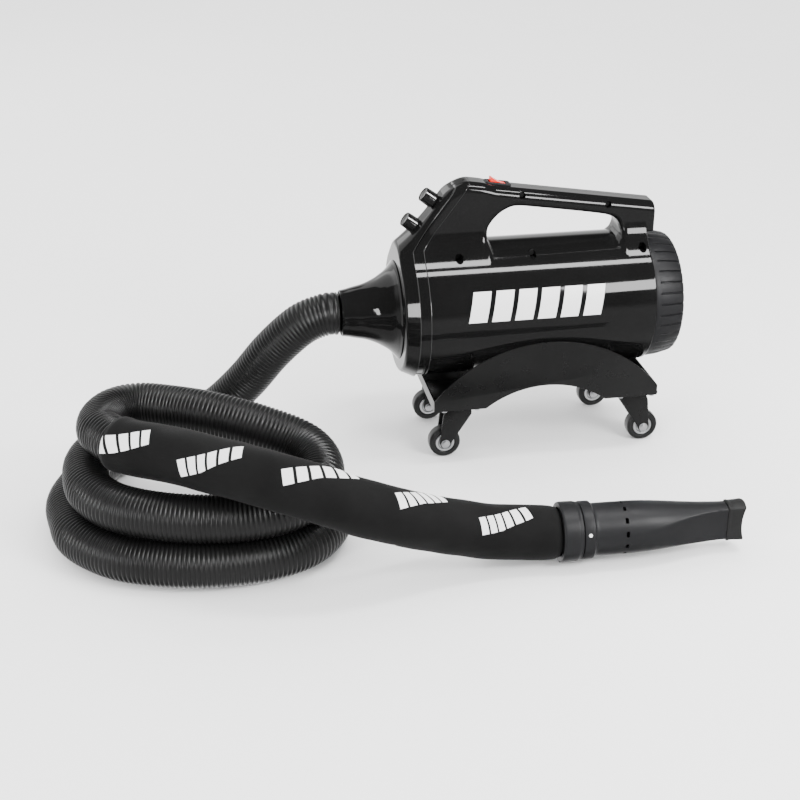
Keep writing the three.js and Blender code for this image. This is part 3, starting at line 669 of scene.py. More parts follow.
def cover_hollow(x, y, z):
    r = np.hypot(y, z)
    dish = np.maximum(r - (80.5 + 0.4 * x), -14 - x)
    hollow = np.minimum(dish, np.maximum(r - 56, x + 5))
    for u in KNOB_U:
        off = x * math.sin(SLANT) + (z - KNEE_Z) * math.cos(SLANT) - u
        hollow = np.minimum(hollow, np.maximum(np.hypot(off, y) - 3.6, 60 - z))
    return hollow


def seam_region(x, y, z):
    """Inside in front of the broken seam line."""
    return np.minimum(x + 2 * SEAM, 2 * SEAM - slant(x, z))


def add_housing():
    xs = np.concatenate([np.arange(-5, 297, 2.0), np.arange(297.4, 315, 1.0)])
    zs = np.arange(-88.0, 173, 2.0)
    shared = [body_outer, lambda x, y, z: -body_hollow(x, y, z), lambda x, y, z: -x,
              lambda x, y, z: slant(x, z)]
    near = [*shared, lambda x, y, z: y + SEAM, lambda x, y, z: -wells(x, y, z)]
    far = [*shared, lambda x, y, z: SEAM - y]
    left = field_solid("housing_left_shell", near, (xs, np.arange(-89.0, 4, 2.0), zs), 1.1)
    stand_in(left, "housing_left", material=GLOSS_PRINTED)
    right = field_solid("housing_right_shell", far, (xs, np.arange(-3.0, 90, 2.0), zs), 1.1)
    stand_in(right, "housing_right", material=GLOSS_SEAM)


def add_cover():
    fields = [cover_outer, lambda x, y, z: -cover_hollow(x, y, z), seam_region]
    axes = (np.arange(-20.0, 74, 1.3), np.arange(-90.4, 91, 1.3), np.arange(-90.0, 173, 1.3))
    stand_in(field_solid("front_cover_shell", fields, axes, 0.75), "front_cover", material=GLOSS_SEAM)


# ---- hose ----
# Routes: machine X and Y, height above the floor.
LEAD_ROUTE = [(-90.3, 0, 185), (-108, 0, 184.4), (-138, 4, 171), (-174, 16, 134), (-208, 30, 88),
              (-246, 38, 50), (-292, 33, 28), (-344, 10, 27.2), (-392, -40, 27.2), (-421, -102, 27.2)]
COIL_ROUTE = [(-434, -146, 27.3), (-430, -187, 27.3), (-419, -228, 27.3), (-382, -269, 27.3),
              (-337, -292, 27.3), (-280, -306, 27.3), (-222, -305, 27.3), (-173, -287, 27.3),
              (-144, -256, 28.5), (-134, -220, 33), (-146, -184, 41), (-176, -157, 51), (-217, -136, 63),
              (-265, -116, 74), (-318, -99, 81.2), (-362, -98, 81.4), (-393, -119, 81.4),
              (-407, -148, 81.4), (-409, -180, 81.4), (-402, -219, 80.6), (-374, -257, 80.2),
              (-324, -286, 80.2), (-268, -301, 80.4), (-212, -301, 81.6), (-171, -285, 85.5),
              (-149, -256, 92), (-147, -224, 100.5), (-165, -197, 110.5), (-210, -178, 125),
              (-263, -155, 134.8), (-308, -131, 135.4), (-344, -118, 135.4), (-371, -126, 135.4),
              (-386, -149, 135.6), (-388, -178, 137)]
SLEEVE_ROUTE = [(-379, -200, 139.5), (-362, -224, 139.5), (-325, -247, 139.5), (-272, -283, 139.5),
                (-216, -324, 138.5), (-165, -345, 127), (-122, -350, 110), (-74, -344, 87), (-26, -330, 64),
                (26, -322, 46), (66, -322.4, 39.4), (94, -324.2, 37.1), (109.6, -325, 37)]
SPIGOT_ROUTE = [(135, -326.1, 37), (161, -327.4, 37), (187, -328.6, 37)]
HOSE_R, SPIGOT_R, SPIGOT_X = 27.0, 24.2, 109.4
HOSE_PITCH, RIB = 4.8, np.array([-2.1, -0.5, 0.0, 0.0, -0.5])
PLAIN_STEP = 12
SLEEVE_R, SLEEVE_BARE, CLOTH_THICKNESS = 31.2, 6, 0.8
# The spoke, of 72, where the print's two edges meet behind, and how far round the print starts.
SLEEVE_BACK, SLEEVE_LAY = 34, 63.0


def even_line(points, step):
    """Smooth line through the route, resampled at even steps of its own length."""
    fine = smooth_line(points, 40)
    fine[:, 2] = np.maximum(fine[:, 2], HOSE_R + 0.1)
    run = np.concatenate([[0], np.cumsum(np.linalg.norm(np.diff(fine, axis=0), axis=1))])
    at = np.linspace(0, run[-1], max(2, int(round(run[-1] / step))) + 1)
    return np.stack([np.interp(at, run, fine[:, k]) for k in range(3)], 1), at


def frames(line):
    """Two normals at each point of a line, carried along without twist."""
    tangent = np.gradient(line, axis=0)
    tangent /= np.linalg.norm(tangent, axis=1, keepdims=True)
    side = np.cross(tangent[0], [0, 0, 1.0])
    sides = []
    for t in tangent:
        side = side - t * (side @ t)
        side = side / np.linalg.norm(side)
        sides.append(side)
    sides = np.array(sides)
    return sides, np.cross(tangent, sides)


def sweep(line, radius, sides):
    """Rings of points round a line; radius holds one number for each ring, or one for each point."""
    a, b = frames(line)
    turn = np.arange(sides) * 2 * math.pi / sides
    radius = np.broadcast_to(np.asarray(radius, float).reshape(len(line), -1), (len(line), sides))
    ring = (radius * np.cos(turn))[..., None] * a[:, None] + (radius * np.sin(turn))[..., None] * b[:, None]
    return (line[:, None] + ring).reshape(-1, 3)


def add_hose():
    """One corrugated hose from the nose to the collar; only its plain end runs inside the sleeve."""
    whole, _ = even_line(LEAD_ROUTE + COIL_ROUTE + SLEEVE_ROUTE + SPIGOT_ROUTE, HOSE_PITCH / len(RIB))
    covered = int(np.linalg.norm(whole - SLEEVE_ROUTE[2], axis=1).argmin())
    free, hidden = whole[:covered], np.vstack([whole[covered:-1:PLAIN_STEP], whole[-1:]])
    line = np.vstack([free, hidden])
    radius = HOSE_R + np.concatenate([RIB[np.arange(len(free)) % len(RIB)], np.full(len(hidden), -1.0)])
    radius[line[:, 0] > SPIGOT_X] = SPIGOT_R
    radius[:2] = HOSE_R - 3
    sides = 26
    points = sweep(line, radius, sides)
    faces = grid_faces(len(line), sides).tolist()
    faces.append(list(range(sides)))
    faces.append(list(range(len(points) - 1, len(points) - 1 - sides, -1)))
    hose = closed_object("hose_corrugated", to_row(points, GROUND), faces)
    stand_in(hose, "hose_lead", "hose_coil")
    return hose, to_row(np.vstack([free[::PLAIN_STEP], hidden]), GROUND)


def add_sleeve():
    """Cloth tube over the hose's last stretch: two skins, a little slack and soft wrinkles."""
    line, run = even_line(SLEEVE_ROUTE, 4.0)
    line, run = line[SLEEVE_BARE:], run[SLEEVE_BARE:]
    sides = 72
    turn = np.arange(sides) * 2 * math.pi / sides
    s, t = run[:, None], turn[None, :]
    twist = np.interp(run, (0, 150, 263, 375, 487), (0, 0, 28, 34, 16)) + SLEEVE_LAY
    wrinkle = 0.45 * np.sin(s / 17 + 2.1 * np.sin(t * 2)) * np.sin(t * 3 + s / 60)
    wrinkle = wrinkle + 0.35 * np.sin(s / 9.0 + 3 * np.cos(t + s / 140)) * np.sin(t * 2 - s / 45) ** 2
    ends = np.minimum(run - run[0], run[-1] - run)[:, None]
    hem = 0.5 * np.exp(-((ends - 5) / 3.5) ** 2)
    tuck = -3.0 * np.clip(1 - (run[-1] - run) / 16, 0, 1)[:, None] ** 2
    outer = SLEEVE_R + wrinkle + hem + tuck
    skin = sweep(line, outer, sides)
    lining = sweep(line, outer - CLOTH_THICKNESS, sides)
    rows = len(line)
    points = np.vstack([skin, lining])
    faces = grid_faces(rows, sides)
    inner = faces[:, ::-1] + rows * sides
    rims = []
    for row in (0, rows - 1):
        for j in range(sides):
            a, b = row * sides + j, row * sides + (j + 1) % sides
            rims.append([a, b, b + rows * sides, a + rows * sides])
    faces = [*faces.tolist(), *inner.tolist(), *rims]
    sleeve = closed_object("hose_sleeve_cloth", to_row(points, GROUND), faces)
    lay = sleeve.data.uv_layers.new(name="lay")
    vertex = np.zeros(len(sleeve.data.loops), int)
    sleeve.data.loops.foreach_get("vertex_index", vertex)
    ring, spoke = (vertex % (rows * sides)) // sides, vertex % sides
    spoke = (spoke - SLEEVE_BACK) % sides
    around = turn[spoke] * SLEEVE_R
    spans = spoke.reshape(-1, 4)
    wraps = np.repeat((spans.max(1) == sides - 1) & (spans.min(1) == 0), 4)
    around[wraps & (spoke == 0)] = 2 * math.pi * SLEEVE_R
    lay.data.foreach_set("uv", np.stack([run[ring], twist[ring] + around], 1).ravel() * 0.001)
    stand_in(sleeve, "hose_sleeve")
    return sleeve, run[-1] - run[0]


# ---- turned and pressed pieces ----
def prism(name, outline, low, high, axis, place=None):
    """Outline pulled between two planes square to the axis; its two numbers are the other axes' own."""
    count = len(outline)
    points = np.concatenate([np.insert(np.asarray(outline, float), "xyz".index(axis), level, axis=1)
                             for level in (low, high)])
    if place is not None:
        points = place(points)
    faces = [[i, (i + 1) % count, count + (i + 1) % count, count + i] for i in range(count)]
    faces += [list(range(count))[::-1], [count + i for i in range(count)]]
    return crease(closed_object(name, to_row(points), faces))


def joined(name, parts):
    """One object from several, which are removed."""
    bm = bmesh.new()
    for part in parts:
        bm.from_mesh(part.data)
        mesh = part.data
        bpy.data.objects.remove(part)
        bpy.data.meshes.remove(mesh)
    mesh = bpy.data.meshes.new(name)
    bm.to_mesh(mesh)
    bm.free()
    return crease(placed(name, mesh))


def carve(obj, cutter):
    """The object less the cutter, which is removed."""
    cut = obj.modifiers.new("cut", "BOOLEAN")
    cut.object = cutter
    cut.operation = "DIFFERENCE"
    cut.solver = "EXACT"
    bpy.context.view_layer.update()
    mesh = bpy.data.meshes.new_from_object(obj.evaluated_get(bpy.context.evaluated_depsgraph_get()))
    obj.modifiers.clear()
    obj.data = mesh
    bpy.data.objects.remove(cutter)
    return crease(obj)


def oblong(half_x, half_y, radius, steps=6):
    """Rounded rectangle outline about 0, 0."""
    out = []
    for i, (sx, sy) in enumerate(((1, 1), (-1, 1), (-1, -1), (1, -1))):
        for k in range(steps + 1):
            a = math.pi / 2 * (i + k / steps)
            x, y = sx * (half_x - radius), sy * (half_y - radius)
            out.append((x + radius * math.cos(a), y + radius * math.sin(a)))
    return out


def regular(count, radius, cx, cy):
    """Regular polygon about a point."""
    turn = [2 * math.pi * k / count for k in range(count)]
    return [(cx + radius * math.cos(a), cy + radius * math.sin(a)) for a in turn]


def both_sides(half):
    """Profile that repeats in reverse on the other side of its middle."""
    return [*half, *[(-a, r) for a, r in reversed(half)]]


def add_nose():
    flare = smooth_line([(-86.8, 29.3), (-80, 30.4), (-72, 32.3), (-58, 35.4), (-46, 40), (-37.6, 44.6),
                         (-27.3, 51.7), (-19.5, 60.3)], 6).tolist()
    lip = rounded([(-19.5, 60.3), (-18.1, 62.9), (-17.0, 62.9), (-17.0, 56)], 0.7)
    inner = smooth_line([(-17.2, 57.8), (-26, 49.6), (-36.5, 42.3), (-46, 37), (-58, 32.6), (-65.5, 31)], 5)
    profile = [(-88, 28.2), (-87.8, 28.9), *flare[:-1], *lip[:-1], (-17.3, 55.8), (-13.2, 55.6),
               (-13.2, 53.4), (-19, 54.6), *inner.tolist()[1:], (-66, 27.7), (-88, 27.7)]
    stand_in(lathe("nose_cone_shell", profile, 128), "nose_cone")
    cuff = rounded([(-87.6, 23.6), (-87.6, 27.2), (-66.8, 27.2), (-66.8, 23.6), (-87.6, 23.6)], 0.8)
    stand_in(lathe("hose_cuff_ring", cuff[:-1], 72), "hose_cuff")


def add_rear_cap():
    """Cap with fine grooves along its rim and level slots in its rear face."""
    grooves, groove_depth = 36, 1.9
    grille_radius, half_bridge = 56, 4
    across = [(-0.95, 0), (-0.6, 0.75), (-0.3, 1), (0.3, 1), (0.6, 0.75), (0.95, 0), (3.4, -0.16),
              (6.6, -0.16)]
    turn = np.radians([360 / grooves * i + a for i in range(grooves) for a, _ in across])
    depth = np.tile([d for _, d in across], grooves)
    outer = [(301.4, 81.6), (301.5, 82.1), (302.2, 82.3), (305, 82.2), (307.5, 82.1), (309, 82),
             (310, 81.9), (315, 81.5), (321, 81), (327, 79.9), (333, 78.5), (336.6, 77.6), (338.4, 76.7),
             (339.7, 75.2), (340.6, 72.8), (341.4, 69.5), (342.4, 63), (342.95, 56), (343, 20), (343, 4)]
    inner = [(340, 4), (340, 57), (338, 69), (336, 73.4), (321, 77.6), (303, 78.4), (299.7, 78.6),
             (299.6, 79), (299.6, 81.1), (300, 81.4)]
    reach_x = (307.5, 309, 310, 338.4, 339.7, 340.6, 341.4, 342.4)
    rings = []
    for i, (x, r) in enumerate(outer + inner):
        share = np.interp(x, reach_x, (0, 0.7, 1, 1, 0.9, 0.6, 0.2, 0)) if i < len(outer) else 0
        radius = r - groove_depth * share * depth
        rings.append(np.stack([np.full(len(turn), x), radius * np.cos(turn), radius * np.sin(turn)], 1))
    faces = grid_faces(len(rings), len(turn), wrap_rows=True).tolist()
    cap = closed_object("rear_cap_grille", to_row(np.concatenate(rings)), faces)
    cutters = []
    for level in range(-40, 41, 16):
        half = math.sqrt(grille_radius**2 - level**2)
        for side in (-1, 1):
            middle, reach = side * (half + half_bridge) / 2, (half - half_bridge) / 2
            outline = [(middle + a, level + b) for a, b in oblong(reach, 4, 3.2)]
            cutters.append(prism("slot_cutter", outline, 336, 348, "x"))
    stand_in(carve(cap, joined("slot_cutters", cutters)), "rear_cap")
    hub = rounded([(339.4, 0), (339.4, 4.6), (343.4, 4.6), (344, 3), (344, 0)], 0.8)
    dress(lathe("rear_cap_boss", hub, 40), ["rear_cap"])


KNOB_AXIS = np.array([-math.cos(SLANT), 0, math.sin(SLANT)])
KNOB_UP = np.array([math.sin(SLANT), 0, math.cos(SLANT)])
KNOB_OFF = 6.6


def on_knob(u):
    """Knob's own points, along its axis and across it, set on the slanted face."""
    base = np.array([0, 0, KNEE_Z]) + KNOB_UP * u + KNOB_AXIS * KNOB_OFF
    return lambda p: base + p @ np.array([KNOB_AXIS, KNOB_UP, [0, -1.0, 0]])


def add_knob(node, u):
    place = on_knob(u)

    def fluted(p):
        a, angle = p[:, 0], np.arctan2(p[:, 2], p[:, 1])
        flute = np.clip((a - 2.6) / 1.2, 0, 1) * np.clip((15.6 - a) / 1.2, 0, 1)
        shrink = 1 - 0.030 * flute * np.abs(np.cos(angle * 10)) ** 3
        return place(np.stack([a, p[:, 1] * shrink, p[:, 2] * shrink], 1))

    side = [(2.2, 9.6), (2.8, 9.7), (3.8, 9.68), (6, 9.62), (10, 9.52), (14.4, 9.42), (15.6, 9.4),
            (16.5, 9.36)]
    profile = [(0, 0), (0, 8.3), (0.5, 8.8), (1.6, 8.9), *side, (17.3, 9.1), (17.8, 8.5), (17.7, 7.9),
               (17.0, 7.3), (16.8, 6.6), (16.8, 0)]
    stand_in(lathe(f"{node}_cap", profile, 160, fluted), node)
    start = math.radians(58)

    def pointed(p):
        turn = start + p[:, 1] / 9.4
        return place(np.stack([p[:, 0], p[:, 2] * np.cos(turn), p[:, 2] * np.sin(turn)], 1))

    # White line along the knob's side, turned to its upper near side, facing up towards the camera.
    line = prism(f"{node}_pointer", oblong(7.3, 0.55, 0.5, 3), 8.9, 9.78, "z",
                 lambda p: pointed(p + np.array([10.1, 0, 0])))
    dress(line, [node], WHITE)


SWITCH_X = 111


def add_switch():
    lean = math.atan(LID_PITCH)
    place_at = np.array([SWITCH_X, 0, LID_TOP - LID_PITCH * (SWITCH_X - LID_X)])

    def place(p):
        x = p[:, 0] * math.cos(lean) + p[:, 2] * math.sin(lean)
        z = -p[:, 0] * math.sin(lean) + p[:, 2] * math.cos(lean)
        return np.stack([x, p[:, 1], z], 1) + place_at

    loops = [(16.5, 8.0, 2.6, 0.3), (16.45, 7.95, 2.5, 1.8), (16.1, 7.6, 2.3, 2.5), (15.4, 6.9, 2.0, 2.8),
             (12.6, 6.2, 1.2, 2.8), (11.6, 5.3, 0.8, 2.3), (11.2, 5.0, 0.7, 1.4), (11.2, 5.0, 0.7, -9),
             (12.2, 6.0, 0.9, -9), (12.2, 6.0, 0.9, 0.2)]
    rings = [np.array([(x, y, h) for x, y in oblong(hx, hy, r)]) for hx, hy, r, h in loops]
    faces = grid_faces(len(rings), len(rings[0]), wrap_rows=True).tolist()
    bezel = closed_object("switch_bezel", to_row(place(np.concatenate(rings))), faces)
    stand_in(crease(bezel, 50), "switch_body")
    top = smooth_line([(-9.6, 8.1), (-4.8, 5.8), (1, 3.5), (5.6, 2.4), (9.9, 1.7)], 4).tolist()
    outline = [(-10.4, 7.7), *top, (10.3, 1.3), (10.3, 0.2), (2, -5.5), (-2, -5.5), (-10.4, 2.5)]
    rocker = prism("rocker_lens", outline, -4.45, 4.45, "y", place)
    stand_in(bevelled(rocker, 0.0006, 3), "switch_rocker")


GLAND_X = 215


def add_gland():
    profile = rounded([(-92.4, 0), (-92.4, 3.6), (-94.2, 4.1), (-94.2, 6.2), (-90.2, 7.0), (-90.2, 10.4),
                       (-88.4, 10.4), (-85.9, 7.9), (-81.2, 7.9), (-80.8, 9.4), (-76, 9.4), (-76, 0)], 0.6)
    stand_in(lathe("cord_gland_bush", profile, 48, axis="z", at=(GLAND_X, 0, 0)), "cord_gland")


# ---- cradle and casters ----
def circle_arc(cx, cz, radius, x0, x1, steps):
    xs = np.linspace(x0, x1, steps)
    return [(x, cz + math.sqrt(radius**2 - (x - cx) ** 2)) for x in xs]


FOOT_Z, SHEET = -107, 2.0
CRADLE_X = (17, 309)
CRADLE_Y, FLANGE_Y = (85.6, 87.6), (0.3, 85.8)
ARCH_X, ARCH_R = (84, 240), 130


def add_cradle():
    front, back = CRADLE_X
    top = circle_arc(163, -207, 185, back, front, 72)
    arch_low = FOOT_Z - math.sqrt(ARCH_R**2 - (ARCH_X[1] - ARCH_X[0]) ** 2 / 4)
    outline = [(back, FOOT_Z), *top, (front, FOOT_Z), *circle_arc(162, arch_low, ARCH_R, *ARCH_X, 48)]
    flanges = [(19.4, ARCH_X[0]), (ARCH_X[1], 306.6)]
    for side, sign in (("left", -1), ("right", 1)):
        parts = [bevelled_mesh(prism("plate", outline, *sorted(sign * y for y in CRADLE_Y), "y"), 0.5)]
        for x0, x1 in flanges:
            strip = [(x0, FOOT_Z), (x1, FOOT_Z), (x1, FOOT_Z + SHEET), (x0, FOOT_Z + SHEET)]
            parts.append(bevelled_mesh(prism("flange", strip, *sorted(sign * y for y in FLANGE_Y), "y"), 0.4))
        stand_in(joined(f"cradle_side_{side}_sheet", parts), f"cradle_side_{side}")
    for node in ("cradle_end_front", "cradle_end_rear", "cradle_saddle_1", "cradle_saddle_2"):
        bevelled(frame["nodes"][node], 0.0004)


def bevelled_mesh(obj, width, segments=2):
    """Bevel in millimetres, cut into the mesh itself."""
    bm = bmesh.new()
    bm.from_mesh(obj.data)
    edges = [e for e in bm.edges if len(e.link_faces) == 2 and e.calc_face_angle(0) > math.radians(40)]
    bmesh.ops.bevel(bm, geom=edges, offset=width * 0.001, segments=segments, profile=0.5, affect="EDGES",
                    clamp_overlap=True)
    bm.to_mesh(obj.data)
    bm.free()
    obj.data.polygons.foreach_set("use_smooth", [True] * len(obj.data.polygons))
    return crease(obj, 40)


CASTERS = (("front_left", 54, -54, -1), ("rear_left", 286, -54, 1), ("front_right", 54, 54, -1),
           ("rear_right", 286, 54, -1))
TRAIL, AXLE_Z = 17.0, -164.5


def round_corners(points, radius, steps=4):
    """Closed outline with every corner rounded."""
    ring = [*points, points[0], points[1]]
    return [tuple(p) for p in rounded(ring, radius, steps)][1:-1]


def add_caster(name, cx, cy, way):
    def place(p):
        return p * np.array([way, 1, 1]) + np.array([cx, cy, 0])

    plate = bevelled_mesh(prism("plate", oblong(28, 26, 4), -109.8, -107.4, "z", place), 0.4)
    race = rounded([(-114.8, 0), (-114.8, 12), (-112.6, 13), (-111, 12.4), (-109.6, 11), (-108, 11),
                    (-108, 0)], 0.6)
    bearing = lathe("race", race, 56, axis="z", at=(cx, cy, 0))
    pressed = joined(f"caster_plate_{name}_pressed", [plate, bearing])
    stand_in(pressed, f"caster_plate_{name}", material=DARK_PLATE)
    bolts = []
    for dx in (-21, 21):
        for dy in (-20, 20):
            head = prism("head", regular(6, 4.3, dx, dy), -113.6, -110.5, "z", place)
            bolts += [bevelled_mesh(head, 0.5),
                      prism("washer", regular(24, 5.2, dx, dy), -110.6, -109.7, "z", place)]
    dress(joined(f"caster_bolts_{name}", bolts), [f"caster_plate_{name}"])

    crown = FOOT_Z - 8.1
    shoulder = [(-15.5, crown - 1.2), (17.5, crown - 1.2), (20.5, crown - 9)]
    foot = [(TRAIL + 7.4, AXLE_Z + 1), (TRAIL + 5.4, AXLE_Z - 5.4), (TRAIL - 5.4, AXLE_Z - 5.4),
            (TRAIL - 7.6, AXLE_Z + 1)]
    cheek = round_corners([*shoulder, *foot, (-17, crown - 8)], 4.5)
    parts = []
    for low, high in ((9.75, 11.5), (-11.5, -9.75)):
        parts.append(bevelled_mesh(prism("cheek", cheek, low, high, "y", place), 0.45))
    saddle = [(-15.5, -11.4), (17, -11.4), (17, 11.4), (-15.5, 11.4)]
    bridge = prism("crown", round_corners(saddle, 3), crown - 2.9, crown - 0.9, "z", place)
    parts.append(bevelled_mesh(bridge, 0.4))
    dome = rounded([(crown - 3, 0), (crown - 3, 14), (crown - 1.2, 14.6), (crown - 0.1, 12.6),
                    (crown - 0.1, 0)], 0.7)
    parts.append(lathe("dome", dome, 56, axis="z", at=(cx, cy, 0)))
    stand_in(joined(f"caster_fork_{name}_pressed", parts), f"caster_fork_{name}")

    centre = (cx + way * TRAIL, cy, AXLE_Z)
    tread = both_sides([(-6.4, 12.4), (-8.5, 13.2), (-8.5, 17.6), (-6.6, 20.1), (-4, 20.5)])
    tyre = rounded([*tread, (0, 12.2), tread[0]], 0.9)
    stand_in(lathe(f"caster_tyre_{name}", tyre[:-1], 96, axis="y", at=centre), f"caster_wheel_{name}")
    rim = both_sides([(-7.0, 3.5), (-7.0, 8.4), (-8.3, 9.2), (-8.3, 11.6), (-7.4, 12.6)])
    hub = rounded([*rim, rim[0]], 0.5)
    dress(lathe(f"caster_hub_{name}", hub[:-1], 72, axis="y", at=centre), [f"caster_wheel_{name}"], CHROME)
    bolt = both_sides([(-15.0, 0), (-15.0, 2.8), (-14.4, 4.3), (-13.2, 4.9), (-12.4, 5.0), (-12.3, 5.7),
                       (-11.6, 5.7), (-11.6, 3)])
    stand_in(lathe(f"caster_bolt_{name}", bolt, 48, axis="y", at=centre), f"caster_axle_{name}")


# ---- nozzle ----
NOZZLE_AT = np.array([110.8, -325, 37.0])
NOZZLE_TURN = math.radians(-2.7)
TAPER_FROM, FLAT_FROM, BODY_END = 77, 80, 195.2
SLOTS_X, SLOTS = 73.6, 12


def rolled(p, angle):
    """Points turned about X."""
    c, s = math.cos(angle), math.sin(angle)
    return np.stack([p[:, 0], p[:, 1] * c - p[:, 2] * s, p[:, 1] * s + p[:, 2] * c], 1)


def on_nozzle(p):
    c, s = math.cos(NOZZLE_TURN), math.sin(NOZZLE_TURN)
    x, y = p[:, 0] * c - p[:, 1] * s, p[:, 0] * s + p[:, 1] * c
    return np.stack([x, y, p[:, 2]], 1) + NOZZLE_AT - [0, 0, AXIS_HEIGHT]


def flat_section(x, radius):
    """Half height and half width at x: round at the base, pressed flat towards the tip."""
    tall = 1 - 0.27 * ease(x, TAPER_FROM, BODY_END)
    return radius * tall, radius * (1.04 - 0.69 * ease(x, FLAT_FROM, BODY_END))


def nozzle_loft(name, stations, dish=0.0):
    """Rings of a round tube cut by two leaning flat faces; dish draws the last rings in at mid height."""
    sides = 160
    turn = (np.arange(sides) + 0.5) * 2 * math.pi / sides
    rings = []
    for x, radius in stations:
        pull = np.interp(x, (199.2, 201.2, 207.2, 212.2, 215.2), (0, 0.1, 0.4, 0.8, 1))
        tall, wide = flat_section(x, radius)
        flat = wide / np.maximum(np.abs(np.cos(turn)), 1e-3)
        blend = np.clip(0.5 + 0.5 * (flat - tall) / 3.0, 0, 1)
        r = flat * (1 - blend) + tall * blend - 3.0 * blend * (1 - blend) * 0.5
        y, z = r * np.cos(turn), r * np.sin(turn)
        along = x - pull * dish * np.maximum(0, 1 - (z / tall) ** 2)
        rings.append(np.stack([along, y, z], 1))
    points = on_nozzle(np.concatenate(rings))
    faces = grid_faces(len(rings), sides, wrap_rows=True).tolist()
    return crease(closed_object(name, to_row(points), faces), 50)


def add_nozzle():
    ring = rounded([(0.6, 31.5), (0.6, 33.4), (3, 34), (18.5, 33.7), (21, 32.8), (23.4, 32.8), (23.4, 27.8),
                    (0.6, 27.8), (0.6, 31.5)], 0.8)
    collar = lathe("ring", ring[:-1], 128, on_nozzle)
    tab_line = [(-10.5, -33.0), (-8.0, -36.2), (8.0, -36.2), (10.5, -33.0), (10.5, -29.5), (-10.5, -29.5)]
    tab = bevelled_mesh(prism("tab", tab_line, 1.2, 22, "x", on_nozzle), 0.9, 3)
    stand_in(joined("nozzle_clamp", [collar, tab]), "nozzle_collar")
    body_x = np.linspace(41.5, BODY_END - 0.2, 52)
    outer = [(24.2, 32.2), (24.6, 32.9), (26, 33.2), (34, 33.2), (36.0, 33.0), (37, 32.2), (37.6, 30.8),
             (39, 30.1), *[(x, 30) for x in body_x]]
    inner = [*[(x, 27.4) for x in body_x[::-6]], (38, 27), (24.2, 25)]
    body = nozzle_loft("nozzle_body", outer + inner)
    outline = [(SLOTS_X + a, b) for a, b in oblong(1.9, 3.3, 1.2, 4)]
    cutters = []
    for i in range(SLOTS):
        angle = (i + 0.5) * 2 * math.pi / SLOTS
        cutters.append(prism("slot_cutter", outline, 22, 36, "z", lambda p: on_nozzle(rolled(p, angle))))
    stand_in(carve(body, joined("slot_cutters", cutters)), "nozzle")
    outer = [(195.4, 30.4), (195.5, 31.6), (196.2, 32.2), (198.2, 32.3), (199.2, 31.6), (201.2, 31.5),
             (207.2, 31.9), (212.2, 32.3), (215.6, 32.4), (216.4, 31.6), (216.4, 30.4)]
    inner = [(215.2, 29.6), (207.2, 29.3), (197.2, 28.6), (195.4, 28.2)]
    stand_in(nozzle_loft("nozzle_lip", outer + inner, dish=4.0), "nozzle_tip")
    dot = rounded([(32.6, 0), (32.6, 2.1), (33.7, 2.1), (33.9, 0)], 0.5)
    spot_turn = math.radians(20)

    def on_ring(p):
        c, s = math.cos(spot_turn), math.sin(spot_turn)
        y, z = -p[:, 0] * c + p[:, 2] * s, p[:, 0] * s + p[:, 2] * c
        return on_nozzle(np.stack([p[:, 1] + 30, y, z], 1))

    dress(lathe("nozzle_mark", dot, 32, on_ring), ["nozzle"], WHITE)


# ---- floor and light ----
FLOOR_HALF = 30


def add_stage():
    bm = bmesh.new()
    bmesh.ops.create_grid(bm, x_segments=1, y_segments=1, size=FLOOR_HALF)
    mesh = bpy.data.meshes.new("floor")
    bm.to_mesh(mesh)
    bm.free()
    floor = placed("floor", mesh)
    n = Finish("floor")
    tint = n.mix(n.noise(2, 2), grey(0.90), grey(0.93))
    mesh.materials.append(n.set(Base_Color=tint, Roughness=0.9, Specular_IOR_Level=0.1))
    floor.visible_glossy = False


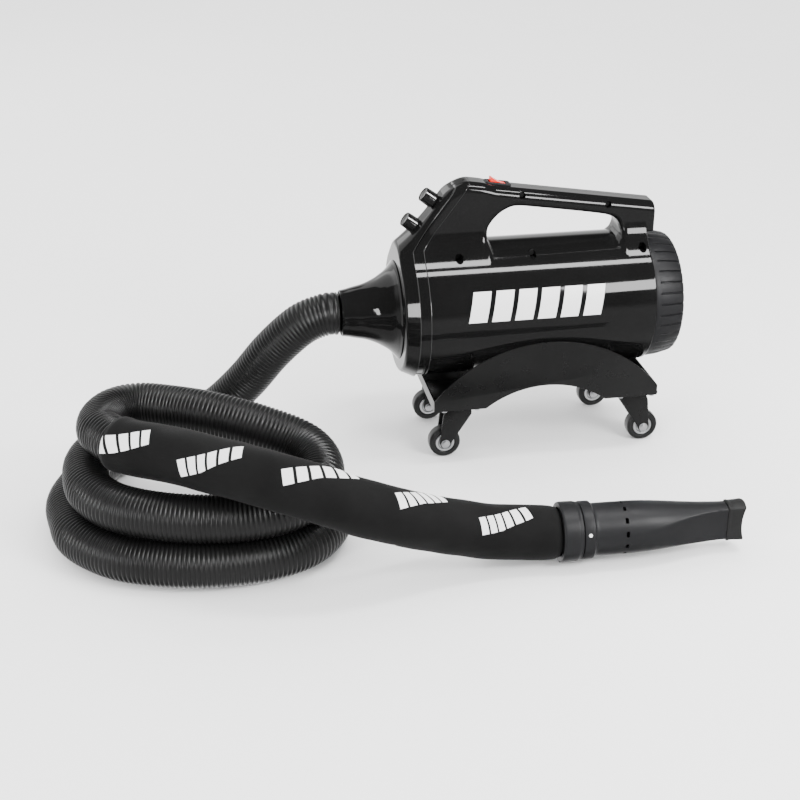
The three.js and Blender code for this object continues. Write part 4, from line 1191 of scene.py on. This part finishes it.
def add_light(name, at, target, size, radiance, glossy=True):
    """Soft box at a place in the machine's own axes; radiance is how bright its face looks.

    One with no target faces straight down, its long side along the barrel.
    """
    data = bpy.data.lights.new(name, "AREA")
    data.shape = "RECTANGLE"
    data.size, data.size_y = size
    data.energy = radiance * math.pi * size[0] * size[1]
    light = placed(name, data)
    light.location = to_row(at)
    if target is not None:
        aim = Vector(to_row(target)) - light.location
        light.rotation_euler = aim.to_track_quat("-Z", "Y").to_euler()
    light.visible_glossy = glossy


def light_wall(tree):
    """World light by direction: a pale wall low behind the object, pale ground, dark overhead and beneath."""
    g = Graph(tree)
    parts = g.node("ShaderNodeSeparateXYZ")
    g.feed(parts.inputs[0], g.node("ShaderNodeTexCoord").outputs["Generated"])
    away, height = parts.outputs[1], parts.outputs[2]
    behind = g.spread(away, 0.0, 1.0, 0.0, 0.35, "SMOOTHSTEP")
    wall = g.spread(height, 1.3, 0.0, 0.26, 0.42, "SMOOTHSTEP")
    ground = g.spread(height, 0.8, 0.05, -0.1, 0.1, "SMOOTHSTEP")
    beneath = g.spread(height, 0.05, 1.0, -0.97, -0.86, "SMOOTHSTEP")
    background = tree.nodes["Background"]
    background.inputs["Color"].default_value = (1, 1, 1, 1)
    g.feed(background.inputs["Strength"], g.mul(g.add(g.mul(behind, wall), ground), beneath))


def add_lights():
    world = bpy.data.worlds.new("studio")
    world.use_nodes = True
    light_wall(world.node_tree)
    bpy.context.scene.world = world
    add_light("fill", (0, 500, 3200), None, (44, 44), 2.5, glossy=False)
    add_light("long_strip", (570, -333, 1570), None, (0.66, 0.22), 36)
    add_light("short_strip", (387, 356, 1570), (60, 0, 60), (0.16, 0.14), 36)
    add_light("side_box", (960, -1290, 940), (240, -60, 40), (0.62, 0.44), 34)
    add_light("left_box", (-1243, -1331, 430), (-10, -80, 30), (0.22, 0.62), 30)
    add_light("back_panel", (-1300, 1700, 1300), (-60, 0, 60), (2.4, 1.6), 1.6)


add_camera()
add_stage()
add_lights()
hose, hose_line = add_hose()
sleeve, sleeve_run = add_sleeve()
add_housing()
add_cover()
add_nose()
add_rear_cap()
add_knob("heat_knob", KNOB_U[0])
add_knob("speed_knob", KNOB_U[1])
add_switch()
add_gland()
add_cradle()
for caster in CASTERS:
    add_caster(*caster)
add_nozzle()
for node in frame["nodes"].values():
    if not node.hide_render:
        material = SLOT_MATERIAL[NODE_SLOT[node.name]]
        node.data.materials.clear()
        node.data.materials.append(material)
